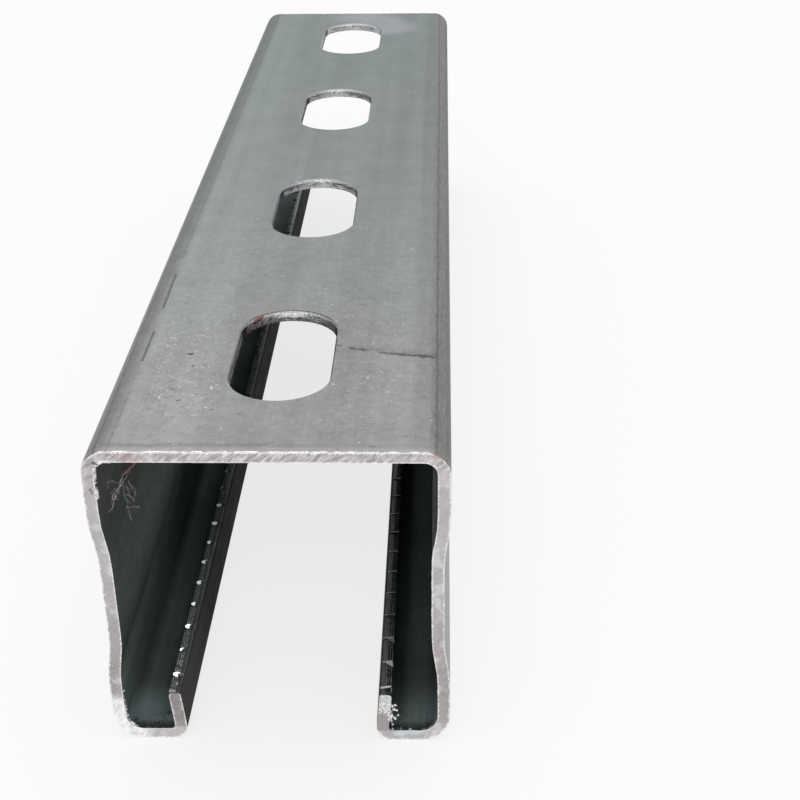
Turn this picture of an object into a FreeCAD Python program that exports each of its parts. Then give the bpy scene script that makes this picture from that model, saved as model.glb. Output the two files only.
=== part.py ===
import FreeCAD
import Part

import math
import os

# A short length of strut channel, cold rolled from one strip of galvanised steel. It lies with
# its open side down: the slotted web is on top, and the flanges of the two lips rest on Z = 0.
# X runs across the channel, Y along it, and the origin is in the middle of the footprint.
# All sizes are in millimetres, and angles are in degrees. The radius of a bend is the one on its
# hollow side.

length = 196.0
width = 41.3
height = 41.3
thickness = 1.5
web_bend_radius = 1.5

# Each lip turns in under the channel and then up into it. Its return leans towards its leg.
lip_width = 9.0
lip_height = 7.1
foot_bend_radius = 2.2
lip_bend_radius = 0.5
lip_lean = 5.0
strip_edge_rounding = 0.4

# A shallow stiffening groove is rolled into each leg, at mid height.
groove_depth = 0.7
groove_floor = 9.5
groove_slope = 7.5

# Round-ended slots are punched through the web from outside, in one row along its middle.
# The punch draws the outer rim of each slot in a little.
slot_width = 12.2
slot_length = 24.4
slot_pitch = 50.0
first_slot = 24.0
slot_rim_rounding = 0.5

# The edge of each return is nicked all along, so that a toothed channel nut can't slide.
# A nick is deepest on the side of the leg, and the two rows are half a pitch apart.
nick_pitch = 4.8
nick_width = 1.2
nick_depth = 0.7
nick_depth_at_mouth = 0.15
first_nick = 1.25

# How far a cutter reaches past the metal that it cuts.
clear = 1.0


def point(x, z):
    """A point of the section, which lies in the plane Y = 0."""
    return FreeCAD.Vector(x, 0.0, z)


def heading_vector(angle):
    """The unit vector of a heading in the section: 0 is +X, and 90 is +Z."""
    return point(math.cos(math.radians(angle)), math.sin(math.radians(angle)))


def straight(run):
    """A flat stretch of the strip, as long as run on its outer face."""
    return {"run": run, "turn": 0.0, "radius": 0.0}


def bend(turn, radius):
    """A bend of the strip. A positive turn is towards the inside of the channel."""
    return {"run": 0.0, "turn": turn, "radius": radius}


def face_edges(start, heading, steps, depth):
    """The edges of one face of the strip, depth inside its outer face.

    start and heading belong to the outer face. The walk turns clockwise round the channel, so
    the inside of the channel is always on its right.
    """
    edges = []
    place = start
    for step in steps:
        inward = heading_vector(heading - 90.0)
        if step["turn"] == 0.0:
            end = place + heading_vector(heading) * step["run"]
            edge = Part.LineSegment(place + inward * depth, end + inward * depth)
        else:
            side = math.copysign(1.0, step["turn"])
            outer_radius = step["radius"] + (thickness if side > 0.0 else 0.0)
            centre = place + inward * side * outer_radius
            headings = [heading - share * step["turn"] for share in (0.0, 0.5, 1.0)]
            spokes = [heading_vector(angle + 90.0) * side for angle in headings]
            edge = Part.Arc(*[centre + spoke * (outer_radius - side * depth) for spoke in spokes])
            end = centre + spokes[-1] * outer_radius
            heading = headings[-1]
        edges.append(edge.toShape())
        place = end
    return edges


def leg_steps():
    """One leg, from its foot up to the web, with its groove centred on the channel's height."""
    turn = 2.0 * math.degrees(math.atan(groove_depth / groove_slope))
    sweep = groove_slope / (2.0 * math.sin(math.radians(turn)))
    into_groove = [bend(turn, sweep - thickness), bend(-turn, sweep)]
    side_of_groove = (height - groove_floor) / 2.0 - groove_slope
    below = straight(side_of_groove - foot_bend_radius - thickness)
    above = straight(side_of_groove - web_bend_radius - thickness)
    return [below] + into_groove + [straight(groove_floor)] + into_groove[::-1] + [above]


def return_run():
    """The straight length of a return, from its bend to the edge of the strip."""
    radius = lip_bend_radius + thickness
    lean = math.radians(lip_lean)
    return (lip_height - radius * (1.0 + math.sin(lean))) / math.cos(lean)


def lip_edge():
    """The corner of the left return's edge on the side of the mouth. The strip starts there."""
    radius = lip_bend_radius + thickness
    bend_centre = point(-width / 2.0 + lip_width - radius, radius)
    foot = bend_centre + heading_vector(lip_lean) * radius
    return foot + heading_vector(90.0 + lip_lean) * return_run()


def section():
    """The closed section of the channel, one strip that is the same on the left and right."""
    lip = [
        straight(return_run()),
        bend(90.0 + lip_lean, lip_bend_radius),
        straight(lip_width - lip_bend_radius - foot_bend_radius - 2.0 * thickness),
        bend(90.0, foot_bend_radius),
    ]
    side = lip + leg_steps() + [bend(90.0, web_bend_radius)]
    web = straight(width - 2.0 * (web_bend_radius + thickness))
    steps = side + [web] + side[::-1]
    start = lip_edge()
    outer = face_edges(start, lip_lean - 90.0, steps, 0.0)
    inner = face_edges(start, lip_lean - 90.0, steps, thickness)
    first_ends = [face[0].valueAt(face[0].FirstParameter) for face in (outer, inner)]
    last_ends = [face[-1].valueAt(face[-1].LastParameter) for face in (outer, inner)]
    strip_edges = [Part.LineSegment(*ends).toShape() for ends in (first_ends, last_ends)]
    return Part.Face(Part.Wire(Part.__sortEdges__(outer + inner + strip_edges)))


def runs_through(edge, place):
    """Whether a straight edge runs the length of the channel through this point of the section."""
    return all(
        math.hypot(vertex.X - place.x, vertex.Z - place.z) < 1e-6
        for vertex in edge.Vertexes
    )


def rolled_strip():
    """The plain channel, with the long edges of the strip rounded."""
    body = section().extrude(FreeCAD.Vector(0.0, length, 0.0))
    body.translate(FreeCAD.Vector(0.0, -length / 2.0, 0.0))
    left = [lip_edge(), lip_edge() + heading_vector(lip_lean - 180.0) * thickness]
    corners = left + [point(-corner.x, corner.z) for corner in left]
    long_edges = [
        edge for edge in body.Edges if any(runs_through(edge, corner) for corner in corners)
    ]
    return body.makeFillet(strip_edge_rounding, long_edges)


def slot_cutter(y):
    """A round-ended slot through the web, with its centre at y."""
    out = FreeCAD.Vector(slot_width / 2.0, 0.0, 0.0)
    along = FreeCAD.Vector(0.0, slot_width / 2.0, 0.0)
    middle = FreeCAD.Vector(0.0, y, height - thickness - clear)
    half_run = FreeCAD.Vector(0.0, (slot_length - slot_width) / 2.0, 0.0)
    near = middle - half_run
    far = middle + half_run
    edges = [
        Part.LineSegment(near + out, far + out),
        Part.Arc(far + out, far + along, far - out),
        Part.LineSegment(far - out, near - out),
        Part.Arc(near - out, near - along, near + out),
    ]
    outline = Part.Face(Part.Wire([edge.toShape() for edge in edges]))
    return outline.extrude(FreeCAD.Vector(0.0, 0.0, thickness + 2.0 * clear))


def with_drawn_rims(body):
    """The channel with the rim of each slot rounded, on the outer face of the web."""
    rims = [
        edge
        for edge in body.Edges
        if edge.BoundBox.ZMin > height - 1e-6
        and max(edge.BoundBox.XMax, -edge.BoundBox.XMin) < slot_width / 2.0 + 1e-3
    ]
    return body.makeFillet(slot_rim_rounding, rims)


def nick_cutter(side, y):
    """A V across the edge of the return on one side, -1 for left and 1 for right."""
    across = heading_vector(lip_lean - 180.0)
    down = heading_vector(lip_lean - 90.0)
    fall = (nick_depth - nick_depth_at_mouth) / thickness
    along_nick = across + down * fall
    tip = lip_edge() + down * nick_depth_at_mouth - along_nick * clear
    rise = nick_depth + clear * (1.0 + fall)
    half_opening = rise * nick_width / (2.0 * nick_depth)
    bank = tip - down * rise
    triangle = [
        FreeCAD.Vector(-side * tip.x, y, tip.z),
        FreeCAD.Vector(-side * bank.x, y - half_opening, bank.z),
        FreeCAD.Vector(-side * bank.x, y + half_opening, bank.z),
    ]
    sweep = along_nick * (thickness + 2.0 * clear)
    outline = Part.Face(Part.makePolygon(triangle + triangle[:1]))
    return outline.extrude(FreeCAD.Vector(-side * sweep.x, 0.0, sweep.z))


def row(first, pitch, reach):
    """Places along Y, the first one first from the front end, the last reach or more from the end."""
    count = int((length - first - reach) // pitch) + 1
    return [first + pitch * number - length / 2.0 for number in range(count)]


def strut_channel():
    """The finished channel: the rolled strip with its slots and nicks."""
    slots = [slot_cutter(y) for y in row(first_slot, slot_pitch, slot_length / 2.0)]
    nicks = [nick_cutter(1, y) for y in row(first_nick, nick_pitch, nick_width / 2.0)]
    nicks += [
        nick_cutter(-1, y) for y in row(first_nick + nick_pitch / 2.0, nick_pitch, nick_width / 2.0)
    ]
    return with_drawn_rims(rolled_strip().cut(slots)).cut(nicks)


os.makedirs("parts", exist_ok=True)
channel = strut_channel()
channel.exportStep("parts/strut_channel.step")
print("strut_channel:", len(channel.Solids), "solid,", round(channel.Volume, 1), "mm3")
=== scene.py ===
import logging
import math
from dataclasses import dataclass, replace
from enum import Enum
from functools import reduce

import bpy
from mathutils import Matrix, Vector


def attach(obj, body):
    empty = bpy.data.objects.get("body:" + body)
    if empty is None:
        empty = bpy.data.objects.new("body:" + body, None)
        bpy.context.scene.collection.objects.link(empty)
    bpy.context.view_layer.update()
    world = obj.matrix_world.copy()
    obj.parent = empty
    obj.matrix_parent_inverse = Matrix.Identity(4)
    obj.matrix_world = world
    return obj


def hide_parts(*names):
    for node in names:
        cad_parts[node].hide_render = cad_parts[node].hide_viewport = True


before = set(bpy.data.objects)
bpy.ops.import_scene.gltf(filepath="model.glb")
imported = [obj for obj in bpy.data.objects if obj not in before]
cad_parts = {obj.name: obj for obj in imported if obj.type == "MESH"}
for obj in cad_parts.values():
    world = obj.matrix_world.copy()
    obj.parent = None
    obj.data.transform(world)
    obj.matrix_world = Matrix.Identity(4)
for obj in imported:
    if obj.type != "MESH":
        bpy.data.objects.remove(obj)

# A short length of zinc-coated strut channel, sawn off a longer one. It lies on its lips, with its
# slotted web on top. X runs across it, Y along it, and Z is up. Sizes are in metres and angles in
# degrees. The finishes, their marks and the boxes of the burrs are in millimetres, and the angles of
# the shared effects in radians.

LOG = logging.getLogger("strut_channel")
NODE = "strut_channel"
BODY = "root"
MM = 0.001

# What several parts of the channel share
LENGTH = 196.0 * MM
FRONT = -LENGTH / 2.0
NICK_PITCH = 4.8 * MM
FIRST_NICK = 1.25 * MM

Object = bpy.types.Object
Material = bpy.types.Material
NodeTree = bpy.types.NodeTree
Socket = bpy.types.NodeSocket
Feed = Socket | Object | Material | float | int | bool | str | tuple
Range = tuple[float, float]
Colour = tuple[float, float, float]
Place = tuple[float, float, float]

# The kind of socket that each kind of value takes
SOCKETS = {
    float: "NodeSocketFloat",
    int: "NodeSocketInt",
    tuple: "NodeSocketVector",
    Object: "NodeSocketObject",
    Material: "NodeSocketMaterial",
    type(None): "NodeSocketGeometry",
}


class Side(Enum):
    """The two sides of the channel, as the sign of their X."""

    LEFT = -1.0
    RIGHT = 1.0


class Face(Enum):
    """The kinds of face that the metal has."""

    OUTSIDE = "zinc_outside"
    INSIDE = "zinc_inside"
    LIP = "dull_zinc_on_lips"
    NICKED = "nicked_steel"
    PUNCHED = "punched_steel"
    SAWN = "sawn_steel"
    TORN = "torn_steel"
    RUST = "rusty_threads"


class Effect(Enum):
    """The surface effects that the finishes share."""

    STREAKS = "rolled_streaks"
    SPECKS = "specks_and_scratches"
    STROKES = "saw_strokes"
    SCRAPES = "fine_scrapes"
    CLOUDS = "clouds"
    LINE = "line_mark"


class Wiring:
    """Places nodes in one tree and wires them, in the order in which they work."""

    def __init__(self, tree: NodeTree) -> None:
        """Keep the tree that the nodes go into."""
        self.tree = tree

    def place(
        self, kind: str, feeds: dict[str | int, Feed] | None = None, **settings: object
    ) -> bpy.types.Node:
        """Add one node.

        Args:
            kind: The node's type.
            feeds: What each input gets, by its name or number. A socket is wired, the rest is set.
            settings: The node's own settings, such as its operation.

        Returns:
            The new node.
        """
        node = self.tree.nodes.new(kind)
        for name, value in settings.items():
            setattr(node, name, value)
        for name, feed in (feeds or {}).items():
            if isinstance(feed, Socket):
                self.tree.links.new(feed, node.inputs[name])
            else:
                node.inputs[name].default_value = feed
        return node

    def math(self, operation: str, *feeds: Feed) -> Socket:
        """One sum on numbers.

        Args:
            operation: The sum, such as ADD.
            feeds: Its terms.

        Returns:
            The result.
        """
        return self.place("ShaderNodeMath", dict(enumerate(feeds)), operation=operation).outputs[0]

    def vector(self, operation: str, *feeds: Feed) -> Socket:
        """One sum on vectors that gives a vector.

        Args:
            operation: The sum, such as ADD.
            feeds: Its terms.

        Returns:
            The result.
        """
        return self.place("ShaderNodeVectorMath", dict(enumerate(feeds)), operation=operation).outputs[0]

    def scaled(self, vector: Feed, factor: Feed) -> Socket:
        """A vector made longer or shorter.

        Args:
            vector: The vector.
            factor: How many times as long it gets.

        Returns:
            The scaled vector.
        """
        return self.place("ShaderNodeVectorMath", {0: vector, 3: factor}, operation="SCALE").outputs[0]

    def apart(self, vector: Feed) -> tuple[Socket, Socket, Socket]:
        """The X, Y and Z of a vector."""
        return tuple(self.place("ShaderNodeSeparateXYZ", {0: vector}).outputs)

    def together(self, x: Feed, y: Feed, z: Feed) -> Socket:
        """A vector from its X, Y and Z."""
        return self.place("ShaderNodeCombineXYZ", {0: x, 1: y, 2: z}).outputs[0]

    def above(self, value: Feed, limit: Feed) -> Socket:
        """1 where the value is above the limit, and 0 elsewhere."""
        return self.math("GREATER_THAN", value, limit)

    def remap(self, value: Feed, low: Feed, high: Feed, to_low: Feed = 0.0, to_high: Feed = 1.0) -> Socket:
        """Stretch a value from one range to another, softly, and hold it inside.

        Args:
            value: The value.
            low: Where the old range starts. It may be the greater end.
            high: Where the old range ends.
            to_low: What the start becomes.
            to_high: What the end becomes.

        Returns:
            The new value.
        """
        feeds = dict(enumerate((value, low, high, to_low, to_high)))
        return self.place("ShaderNodeMapRange", feeds, interpolation_type="SMOOTHSTEP").outputs[0]

    def near(self, value: Feed, centre: Feed, reach: float, softness: float) -> Socket:
        """1 within reach of the centre, and 0 from a softness further on.

        Args:
            value: The value.
            centre: The middle of the band.
            reach: Half of the band's width.
            softness: How wide its edge is.

        Returns:
            The band.
        """
        gap = self.math("ABSOLUTE", self.minus(value, centre))
        return self.remap(gap, reach + softness, reach)

    def noise(self, vector: Feed, scale: Feed, detail: float = 3.0, roughness: float = 0.5) -> Socket:
        """Cloudy noise between 0 and 1.

        Args:
            vector: Where it is read.
            scale: Its clouds for each unit of length.
            detail: How many finer layers it has.
            roughness: How strong the finer layers are.

        Returns:
            The noise.
        """
        feeds = {"Vector": vector, "Scale": scale, "Detail": detail, "Roughness": roughness}
        return self.place("ShaderNodeTexNoise", feeds).outputs[0]

    def mixed(self, factor: Feed, first: Feed, second: Feed) -> Socket:
        """The first colour at a factor of 0, and the second at 1."""
        feeds = {0: factor}
        for number, colour in ((6, first), (7, second)):
            feeds[number] = (*colour, 1.0) if isinstance(colour, tuple) else colour
        return self.place("ShaderNodeMix", feeds, data_type="RGBA").outputs[2]

    def blended(self, factor: Feed, first: Feed, second: Feed) -> Socket:
        """The first number at a factor of 0, and the second at 1."""
        return self.place("ShaderNodeMix", {0: factor, 2: first, 3: second}, data_type="FLOAT").outputs[0]

    def darkened(self, colour: Feed, mask: Feed, share: Feed) -> Socket:
        """A colour with only a share of its brightness left where the mask is 1."""
        return self.scaled(colour, self.blended(mask, 1.0, share))

    def times(self, *feeds: Feed) -> Socket:
        """The product of several values.

        Args:
            feeds: The values.

        Returns:
            Their product.
        """
        return reduce(lambda first, second: self.math("MULTIPLY", first, second), feeds)

    def plus(self, first: Feed, second: Feed) -> Socket:
        """The sum of two values."""
        return self.math("ADD", first, second)

    def minus(self, first: Feed, second: Feed) -> Socket:
        """The first value less the second."""
        return self.math("SUBTRACT", first, second)

    def ratio(self, first: Feed, second: Feed) -> Socket:
        """The first value divided by the second."""
        return self.math("DIVIDE", first, second)


class Group(Wiring):
    """A tree with named inputs and one output."""

    def __init__(
        self, name: str, kind: str, inputs: dict[str, Feed | None], output: tuple[str, str]
    ) -> None:
        """Make the tree and its sockets.

        Args:
            name: The tree's name.
            kind: The tree's type.
            inputs: The value of each input, by its name. None stands for the geometry.
            output: The name of the output and its kind of socket.
        """
        super().__init__(bpy.data.node_groups.new(name, kind))
        self.values: dict[str, Feed] = {}
        sockets = self.tree.interface
        for label, value in inputs.items():
            kind_of_socket = SOCKETS[type(value)]
            made = sockets.new_socket(name=label, in_out="INPUT", socket_type=kind_of_socket)
            self.values[made.identifier] = value
            if isinstance(value, (int, float, tuple)):
                made.default_value = value
        sockets.new_socket(name=output[0], in_out="OUTPUT", socket_type=output[1])
        self.given = self.tree.nodes.new("NodeGroupInput").outputs

    def finish(self, result: Socket) -> None:
        """Wire the result to the tree's output."""
        self.tree.links.new(result, self.tree.nodes.new("NodeGroupOutput").inputs[0])


class GeometryRecipe(Group):
    """A Geometry Nodes tree, run once on a host mesh."""

    def __init__(self, name: str, inputs: dict[str, Feed]) -> None:
        """Make the tree. Its first input and its output are the geometry."""
        every_input = {"Geometry": None} | inputs
        super().__init__(name, "GeometryNodeTree", every_input, ("Geometry", SOCKETS[type(None)]))

    def attribute(self, name: str, kind: str = "FLOAT") -> Socket:
        """An attribute of the mesh, by its name."""
        return self.place("GeometryNodeInputNamedAttribute", {0: name}, data_type=kind).outputs[0]

    def position(self) -> Socket:
        """Where each point is."""
        return self.place("GeometryNodeInputPosition").outputs[0]

    def put(self, geometry: Socket, place: Socket) -> Socket:
        """A geometry with its points put at a place."""
        feeds = {"Geometry": geometry, "Position": place}
        return self.place("GeometryNodeSetPosition", feeds).outputs[0]

    def shifted(self, geometry: Socket, offset: Socket) -> Socket:
        """A geometry with its points shifted by an offset."""
        feeds = {"Geometry": geometry, "Offset": offset}
        return self.place("GeometryNodeSetPosition", feeds).outputs[0]

    def realized(self, geometry: Socket) -> Socket:
        """Instances made into a plain mesh."""
        return self.place("GeometryNodeRealizeInstances", {0: geometry}).outputs[0]

    def finish_in_material(self, geometry: Socket) -> None:
        """Give the result the material that the tree takes."""
        feeds = {"Geometry": geometry, "Material": self.given["Material"]}
        self.finish(self.place("GeometryNodeSetMaterial", feeds).outputs[0])

    def run(self, host: Object) -> Object:
        """Run the tree on the host, and leave its result there as a plain mesh.

        Args:
            host: The object that carries the mesh which the tree starts from.

        Returns:
            The same object.
        """
        modifier = host.modifiers.new(self.tree.name, "NODES")
        modifier.node_group = self.tree
        for identifier, value in self.values.items():
            if value is not None:
                modifier[identifier] = value
        surroundings = bpy.context.evaluated_depsgraph_get()
        mesh = bpy.data.meshes.new_from_object(host.evaluated_get(surroundings), depsgraph=surroundings)
        host.modifiers.remove(modifier)
        host.data = mesh
        mesh.name = host.name
        return host


@dataclass(frozen=True)
class StripPoint:
    """One point of the strip's section.

    place is on the strip's middle line, inward is the unit vector towards its inner face, and half
    is half of the strip's thickness there.
    """

    place: Vector
    inward: Vector
    half: float


@dataclass(frozen=True)
class Section:
    """The section that the strip is rolled to. It is the same on its left and its right."""

    width: float = 41.3 * MM
    height: float = 41.3 * MM
    thickness: float = 1.5 * MM
    web_bend_radius: float = 1.5 * MM
    lip_width: float = 9.0 * MM
    lip_height: float = 7.1 * MM
    foot_bend_radius: float = 2.2 * MM
    lip_bend_radius: float = 0.5 * MM
    lip_lean: float = 5.0
    edge_rounding: float = 0.4 * MM
    groove_depth: float = 0.7 * MM
    groove_floor: float = 9.5 * MM
    groove_slope: float = 7.5 * MM
    longest_step: float = 0.5 * MM
    widest_turn: float = 9.0

    def return_run(self) -> float:
        """The straight length of a return, from its bend to the edge of the strip."""
        radius = self.lip_bend_radius + self.thickness
        lean = math.radians(self.lip_lean)
        return (self.lip_height - radius * (1.0 + math.sin(lean))) / math.cos(lean)

    def steps(self) -> list[tuple[float, float, float]]:
        """The runs and bends of the left half, from the edge of the return to the middle of the web.

        Returns:
            For each one its run, its turn towards the inside, and the radius on its hollow side.
        """
        turn = 2.0 * math.degrees(math.atan(self.groove_depth / self.groove_slope))
        sweep = self.groove_slope / (2.0 * math.sin(math.radians(turn)))
        into_groove = [(0.0, turn, sweep - self.thickness), (0.0, -turn, sweep)]
        beside_groove = (self.height - self.groove_floor) / 2.0 - self.groove_slope - self.thickness
        flange = self.lip_width - self.lip_bend_radius - self.foot_bend_radius - 2.0 * self.thickness
        return [
            (self.return_run(), 0.0, 0.0),
            (0.0, 90.0 + self.lip_lean, self.lip_bend_radius),
            (flange, 0.0, 0.0),
            (0.0, 90.0, self.foot_bend_radius),
            (beside_groove - self.foot_bend_radius, 0.0, 0.0),
            *into_groove,
            (self.groove_floor, 0.0, 0.0),
            *into_groove[::-1],
            (beside_groove - self.web_bend_radius, 0.0, 0.0),
            (0.0, 90.0, self.web_bend_radius),
            (self.width / 2.0 - self.web_bend_radius - self.thickness, 0.0, 0.0),
        ]

    def strip_corner(self) -> Vector:
        """The corner of the left return's edge, on the side of the mouth."""
        radius = self.lip_bend_radius + self.thickness
        centre = Vector((-self.width / 2.0 + self.lip_width - radius, 0.0, radius))
        return centre + along(self.lip_lean) * radius + along(90.0 + self.lip_lean) * self.return_run()

    def rounded_edge(self) -> list[tuple[float, float]]:
        """How the strip thins out to its rounded edge.

        Returns:
            Distances from the edge, and what is missing there on each face.
        """
        quarter = [math.radians(angle) for angle in (0.0, 22.5, 45.0, 67.5)]
        radius = self.edge_rounding
        return [(radius * (1.0 - math.cos(a)), radius * (1.0 - math.sin(a))) for a in quarter]

    def left_half(self) -> list[StripPoint]:
        """The points of the left half, from the edge of the return to the middle of the web."""
        place = self.strip_corner()
        heading = self.lip_lean - 90.0
        inward = along(heading - 90.0)
        to_middle = self.thickness / 2.0
        points = [
            StripPoint(place + along(heading) * far + inward * to_middle, inward, to_middle - missing)
            for far, missing in self.rounded_edge()
        ]
        place = place + along(heading) * self.edge_rounding
        for number, (run, turn, radius) in enumerate(self.steps()):
            if number == 0:
                run -= self.edge_rounding
            inward = along(heading - 90.0)
            side = math.copysign(1.0, turn)
            outer_radius = radius + (self.thickness if turn > 0.0 else 0.0)
            centre = place + inward * side * outer_radius
            count = math.ceil(max(run / self.longest_step, abs(turn) / self.widest_turn))
            for step in range(count):
                share = step / count
                facing = along(heading - 90.0 - share * turn)
                if turn:
                    outer = centre - facing * side * outer_radius
                else:
                    outer = place + along(heading) * run * share
                points.append(StripPoint(outer + facing * to_middle, facing, to_middle))
            heading -= turn
            if turn:
                place = centre - along(heading - 90.0) * side * outer_radius
            else:
                place = place + along(heading) * run
        return points + [StripPoint(place + along(-90.0) * to_middle, along(-90.0), to_middle)]

    def points(self) -> list[StripPoint]:
        """The points of the whole strip, from the edge of the left return to that of the right one."""
        left = self.left_half()
        return left + [StripPoint(mirrored(p.place), mirrored(p.inward), p.half) for p in left[-2::-1]]


def along(heading: float) -> Vector:
    """The unit vector of a heading in the section, where 0 is +X and 90 is +Z."""
    return Vector((math.cos(math.radians(heading)), 0.0, math.sin(math.radians(heading))))


def mirrored(vector: Vector) -> Vector:
    """The same vector on the other side of the channel."""
    return Vector((-vector.x, vector.y, vector.z))


def added_object(name: str, mesh: bpy.types.Mesh) -> Object:
    """A new object in the scene, at the origin.

    Args:
        name: Its name.
        mesh: Its mesh.

    Returns:
        The object.
    """
    made = bpy.data.objects.new(name, mesh)
    bpy.context.scene.collection.objects.link(made)
    return made


def host_of_rows(name: str, rows: list[list[StripPoint]]) -> Object:
    """Rows of points that a tree of Geometry Nodes starts from.

    Args:
        name: The object's name.
        rows: The points of each row, which become its attributes too.

    Returns:
        The object.
    """
    points = [point for row in rows for point in row]
    firsts = {0}
    for row in rows:
        firsts.add(max(firsts) + len(row))
    mesh = bpy.data.meshes.new(name)
    links = [(n, n + 1) for n in range(len(points) - 1) if n + 1 not in firsts]
    mesh.from_pydata([p.place for p in points], links, [])
    inward = mesh.attributes.new("inward", "FLOAT_VECTOR", "POINT")
    inward.data.foreach_set("vector", [part for p in points for part in p.inward])
    half = mesh.attributes.new("half", "FLOAT", "POINT")
    half.data.foreach_set("value", [p.half for p in points])
    return added_object(name, mesh)


@dataclass
class Channel:
    """The rolled strip itself, with its punched slots and its nicked edges."""

    section: Section
    length: float = LENGTH
    rows: int = 91
    crowding: float = 2.0
    layers: int = 5
    slot_width: float = 12.2 * MM
    slot_length: float = 24.4 * MM
    slot_pitch: float = 50.0 * MM
    first_slot: float = 24.0 * MM
    slot_count: int = 4
    slot_rim: float = 0.5 * MM
    rim_turn: float = 55.0
    nick_pitch: float = NICK_PITCH
    nick_width: float = 1.2 * MM
    nick_depth: float = 0.7 * MM
    nick_depth_at_mouth: float = 0.15 * MM
    first_nick: float = FIRST_NICK
    clear: float = 1.0 * MM
    dressed_run: float = 1.25 * MM
    dressed_depth: float = 0.14 * MM
    dressed_on_legs: float = 0.25
    leg_to_web: Range = (3.0 * MM, 1.2 * MM)
    hollow_depth: float = 0.05 * MM
    sawn_face: Range = (0.02 * MM, 0.01 * MM)
    worn_middle: Range = (0.5, 0.2)
    worn_pattern: float = 1.2 / MM
    crease_angle: float = 20.0
    sawn_within: float = 0.3 * MM
    slot_within: Range = (0.3 * MM, 0.4 * MM)
    lip_within: float = 2.6 * MM
    margin: float = 0.1 * MM
    sawn_steepness: float = 0.8
    web_level: float = 0.95
    nick_steepness: float = 0.25
    nick_reach: float = 1.2
    edge_rise: float = 0.3
    lip_fall: float = -0.8
    weld: float = 0.002 * MM

    def nick_cutter(self, side: Side) -> Object:
        """The wedge that cuts one nick of a side's return, across Y = 0."""
        section = self.section
        down = along(section.lip_lean - 90.0)
        fall = (self.nick_depth - self.nick_depth_at_mouth) / section.thickness
        along_nick = along(section.lip_lean - 180.0) + down * fall
        tip = section.strip_corner() + down * self.nick_depth_at_mouth - along_nick * self.clear
        rise = self.nick_depth + self.clear * (1.0 + fall)
        half_opening = Vector((0.0, rise * self.nick_width / (2.0 * self.nick_depth), 0.0))
        near = [tip, tip - down * rise - half_opening, tip - down * rise + half_opening]
        far = [point + along_nick * (section.thickness + 2.0 * self.clear) for point in near]
        corners = [Vector((-side.value * p.x, p.y, p.z)) for p in near + far]
        faces = [(0, 1, 2), (5, 4, 3), (0, 3, 4, 1), (1, 4, 5, 2), (2, 5, 3, 0)]
        mesh = bpy.data.meshes.new("nick_cutter")
        mesh.from_pydata(corners, [], faces if side is Side.RIGHT else [face[::-1] for face in faces])
        return added_object("nick_cutter", mesh)

    def rolled(self, recipe: GeometryRecipe) -> Socket:
        """The plain strip: a block of a grid, bent to the section.

        Args:
            recipe: The tree that the nodes go into.

        Returns:
            The strip's mesh, with the share of its thickness kept as an attribute.
        """
        host = recipe.given["Geometry"]
        count = recipe.place("GeometryNodeAttributeDomainSize", {0: host}).outputs["Point Count"]
        feeds = {"Size": (1.0, 1.0, 1.0), "Vertices X": count}
        feeds |= {"Vertices Y": recipe.given["Rows"], "Vertices Z": recipe.given["Layers"]}
        block = recipe.place("GeometryNodeMeshCube", feeds).outputs["Mesh"]
        a, b, c = recipe.apart(recipe.position())
        last = recipe.minus(count, 1.0)
        index = recipe.math("ROUND", recipe.times(recipe.plus(a, 0.5), last))
        sampled = {}
        for name, kind in (("place", "FLOAT_VECTOR"), ("inward", "FLOAT_VECTOR"), ("half", "FLOAT")):
            value = recipe.position() if name == "place" else recipe.attribute(name, kind)
            feeds = {"Geometry": host, "Value": value, "Index": index}
            sample = recipe.place("GeometryNodeSampleIndex", feeds, data_type=kind, domain="POINT")
            sampled[name] = sample.outputs[0]
        depth = recipe.times(c, 2.0, sampled["half"])
        to_middle = recipe.minus(1.0, recipe.math("ABSOLUTE", recipe.times(b, 2.0)))
        crowded = recipe.math("POWER", to_middle, recipe.given["Crowding"])
        half_length = recipe.times(recipe.given["Length"], 0.5)
        reach = recipe.times(recipe.minus(1.0, crowded), half_length)
        from_end = recipe.minus(half_length, reach)
        share = recipe.minus(1.0, recipe.ratio(from_end, recipe.given["Dressed Run"]))
        share = recipe.math("MAXIMUM", share, 0.0)
        outward = recipe.minus(0.5, c)
        leg_top, web_foot = (self.section.height - below for below in self.leg_to_web)
        base_z = recipe.apart(sampled["place"])[2]
        on_web = recipe.remap(base_z, leg_top, web_foot, self.dressed_on_legs, 1.0)
        drawn_in = recipe.times(share, share, outward, on_web, recipe.given["Dressed Depth"])
        depth = recipe.plus(depth, drawn_in)
        flat = recipe.vector("ADD", sampled["place"], recipe.scaled(sampled["inward"], depth))
        hollow = recipe.times(self.worn(recipe, flat, c, from_end), recipe.given["Hollow Depth"])
        y = recipe.times(recipe.math("SIGN", b), recipe.minus(reach, hollow))
        place = recipe.vector("ADD", flat, recipe.together(0.0, y, 0.0))
        feeds = {"Geometry": block, "Name": "depth", "Value": recipe.plus(c, 0.5)}
        kept = recipe.place("GeometryNodeStoreNamedAttribute", feeds, data_type="FLOAT", domain="POINT")
        return recipe.put(kept.outputs[0], place)

    def worn(self, recipe: GeometryRecipe, flat: Socket, across: Socket, from_end: Socket) -> Socket:
        """How much of the sawn face is missing: uneven, more in its middle, and nothing off the face.

        Args:
            recipe: The tree that the nodes go into.
            flat: Places in the section.
            across: The share of the thickness, from -0.5 to 0.5.
            from_end: The distance from the end.

        Returns:
            The share of the hollow's depth that is missing.
        """
        on_face = recipe.remap(from_end, *self.sawn_face)
        middle = recipe.remap(recipe.math("ABSOLUTE", across), *self.worn_middle)
        uneven = recipe.remap(recipe.noise(flat, self.worn_pattern, 2.0), 0.35, 0.65)
        return recipe.times(on_face, recipe.plus(uneven, middle))

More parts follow.
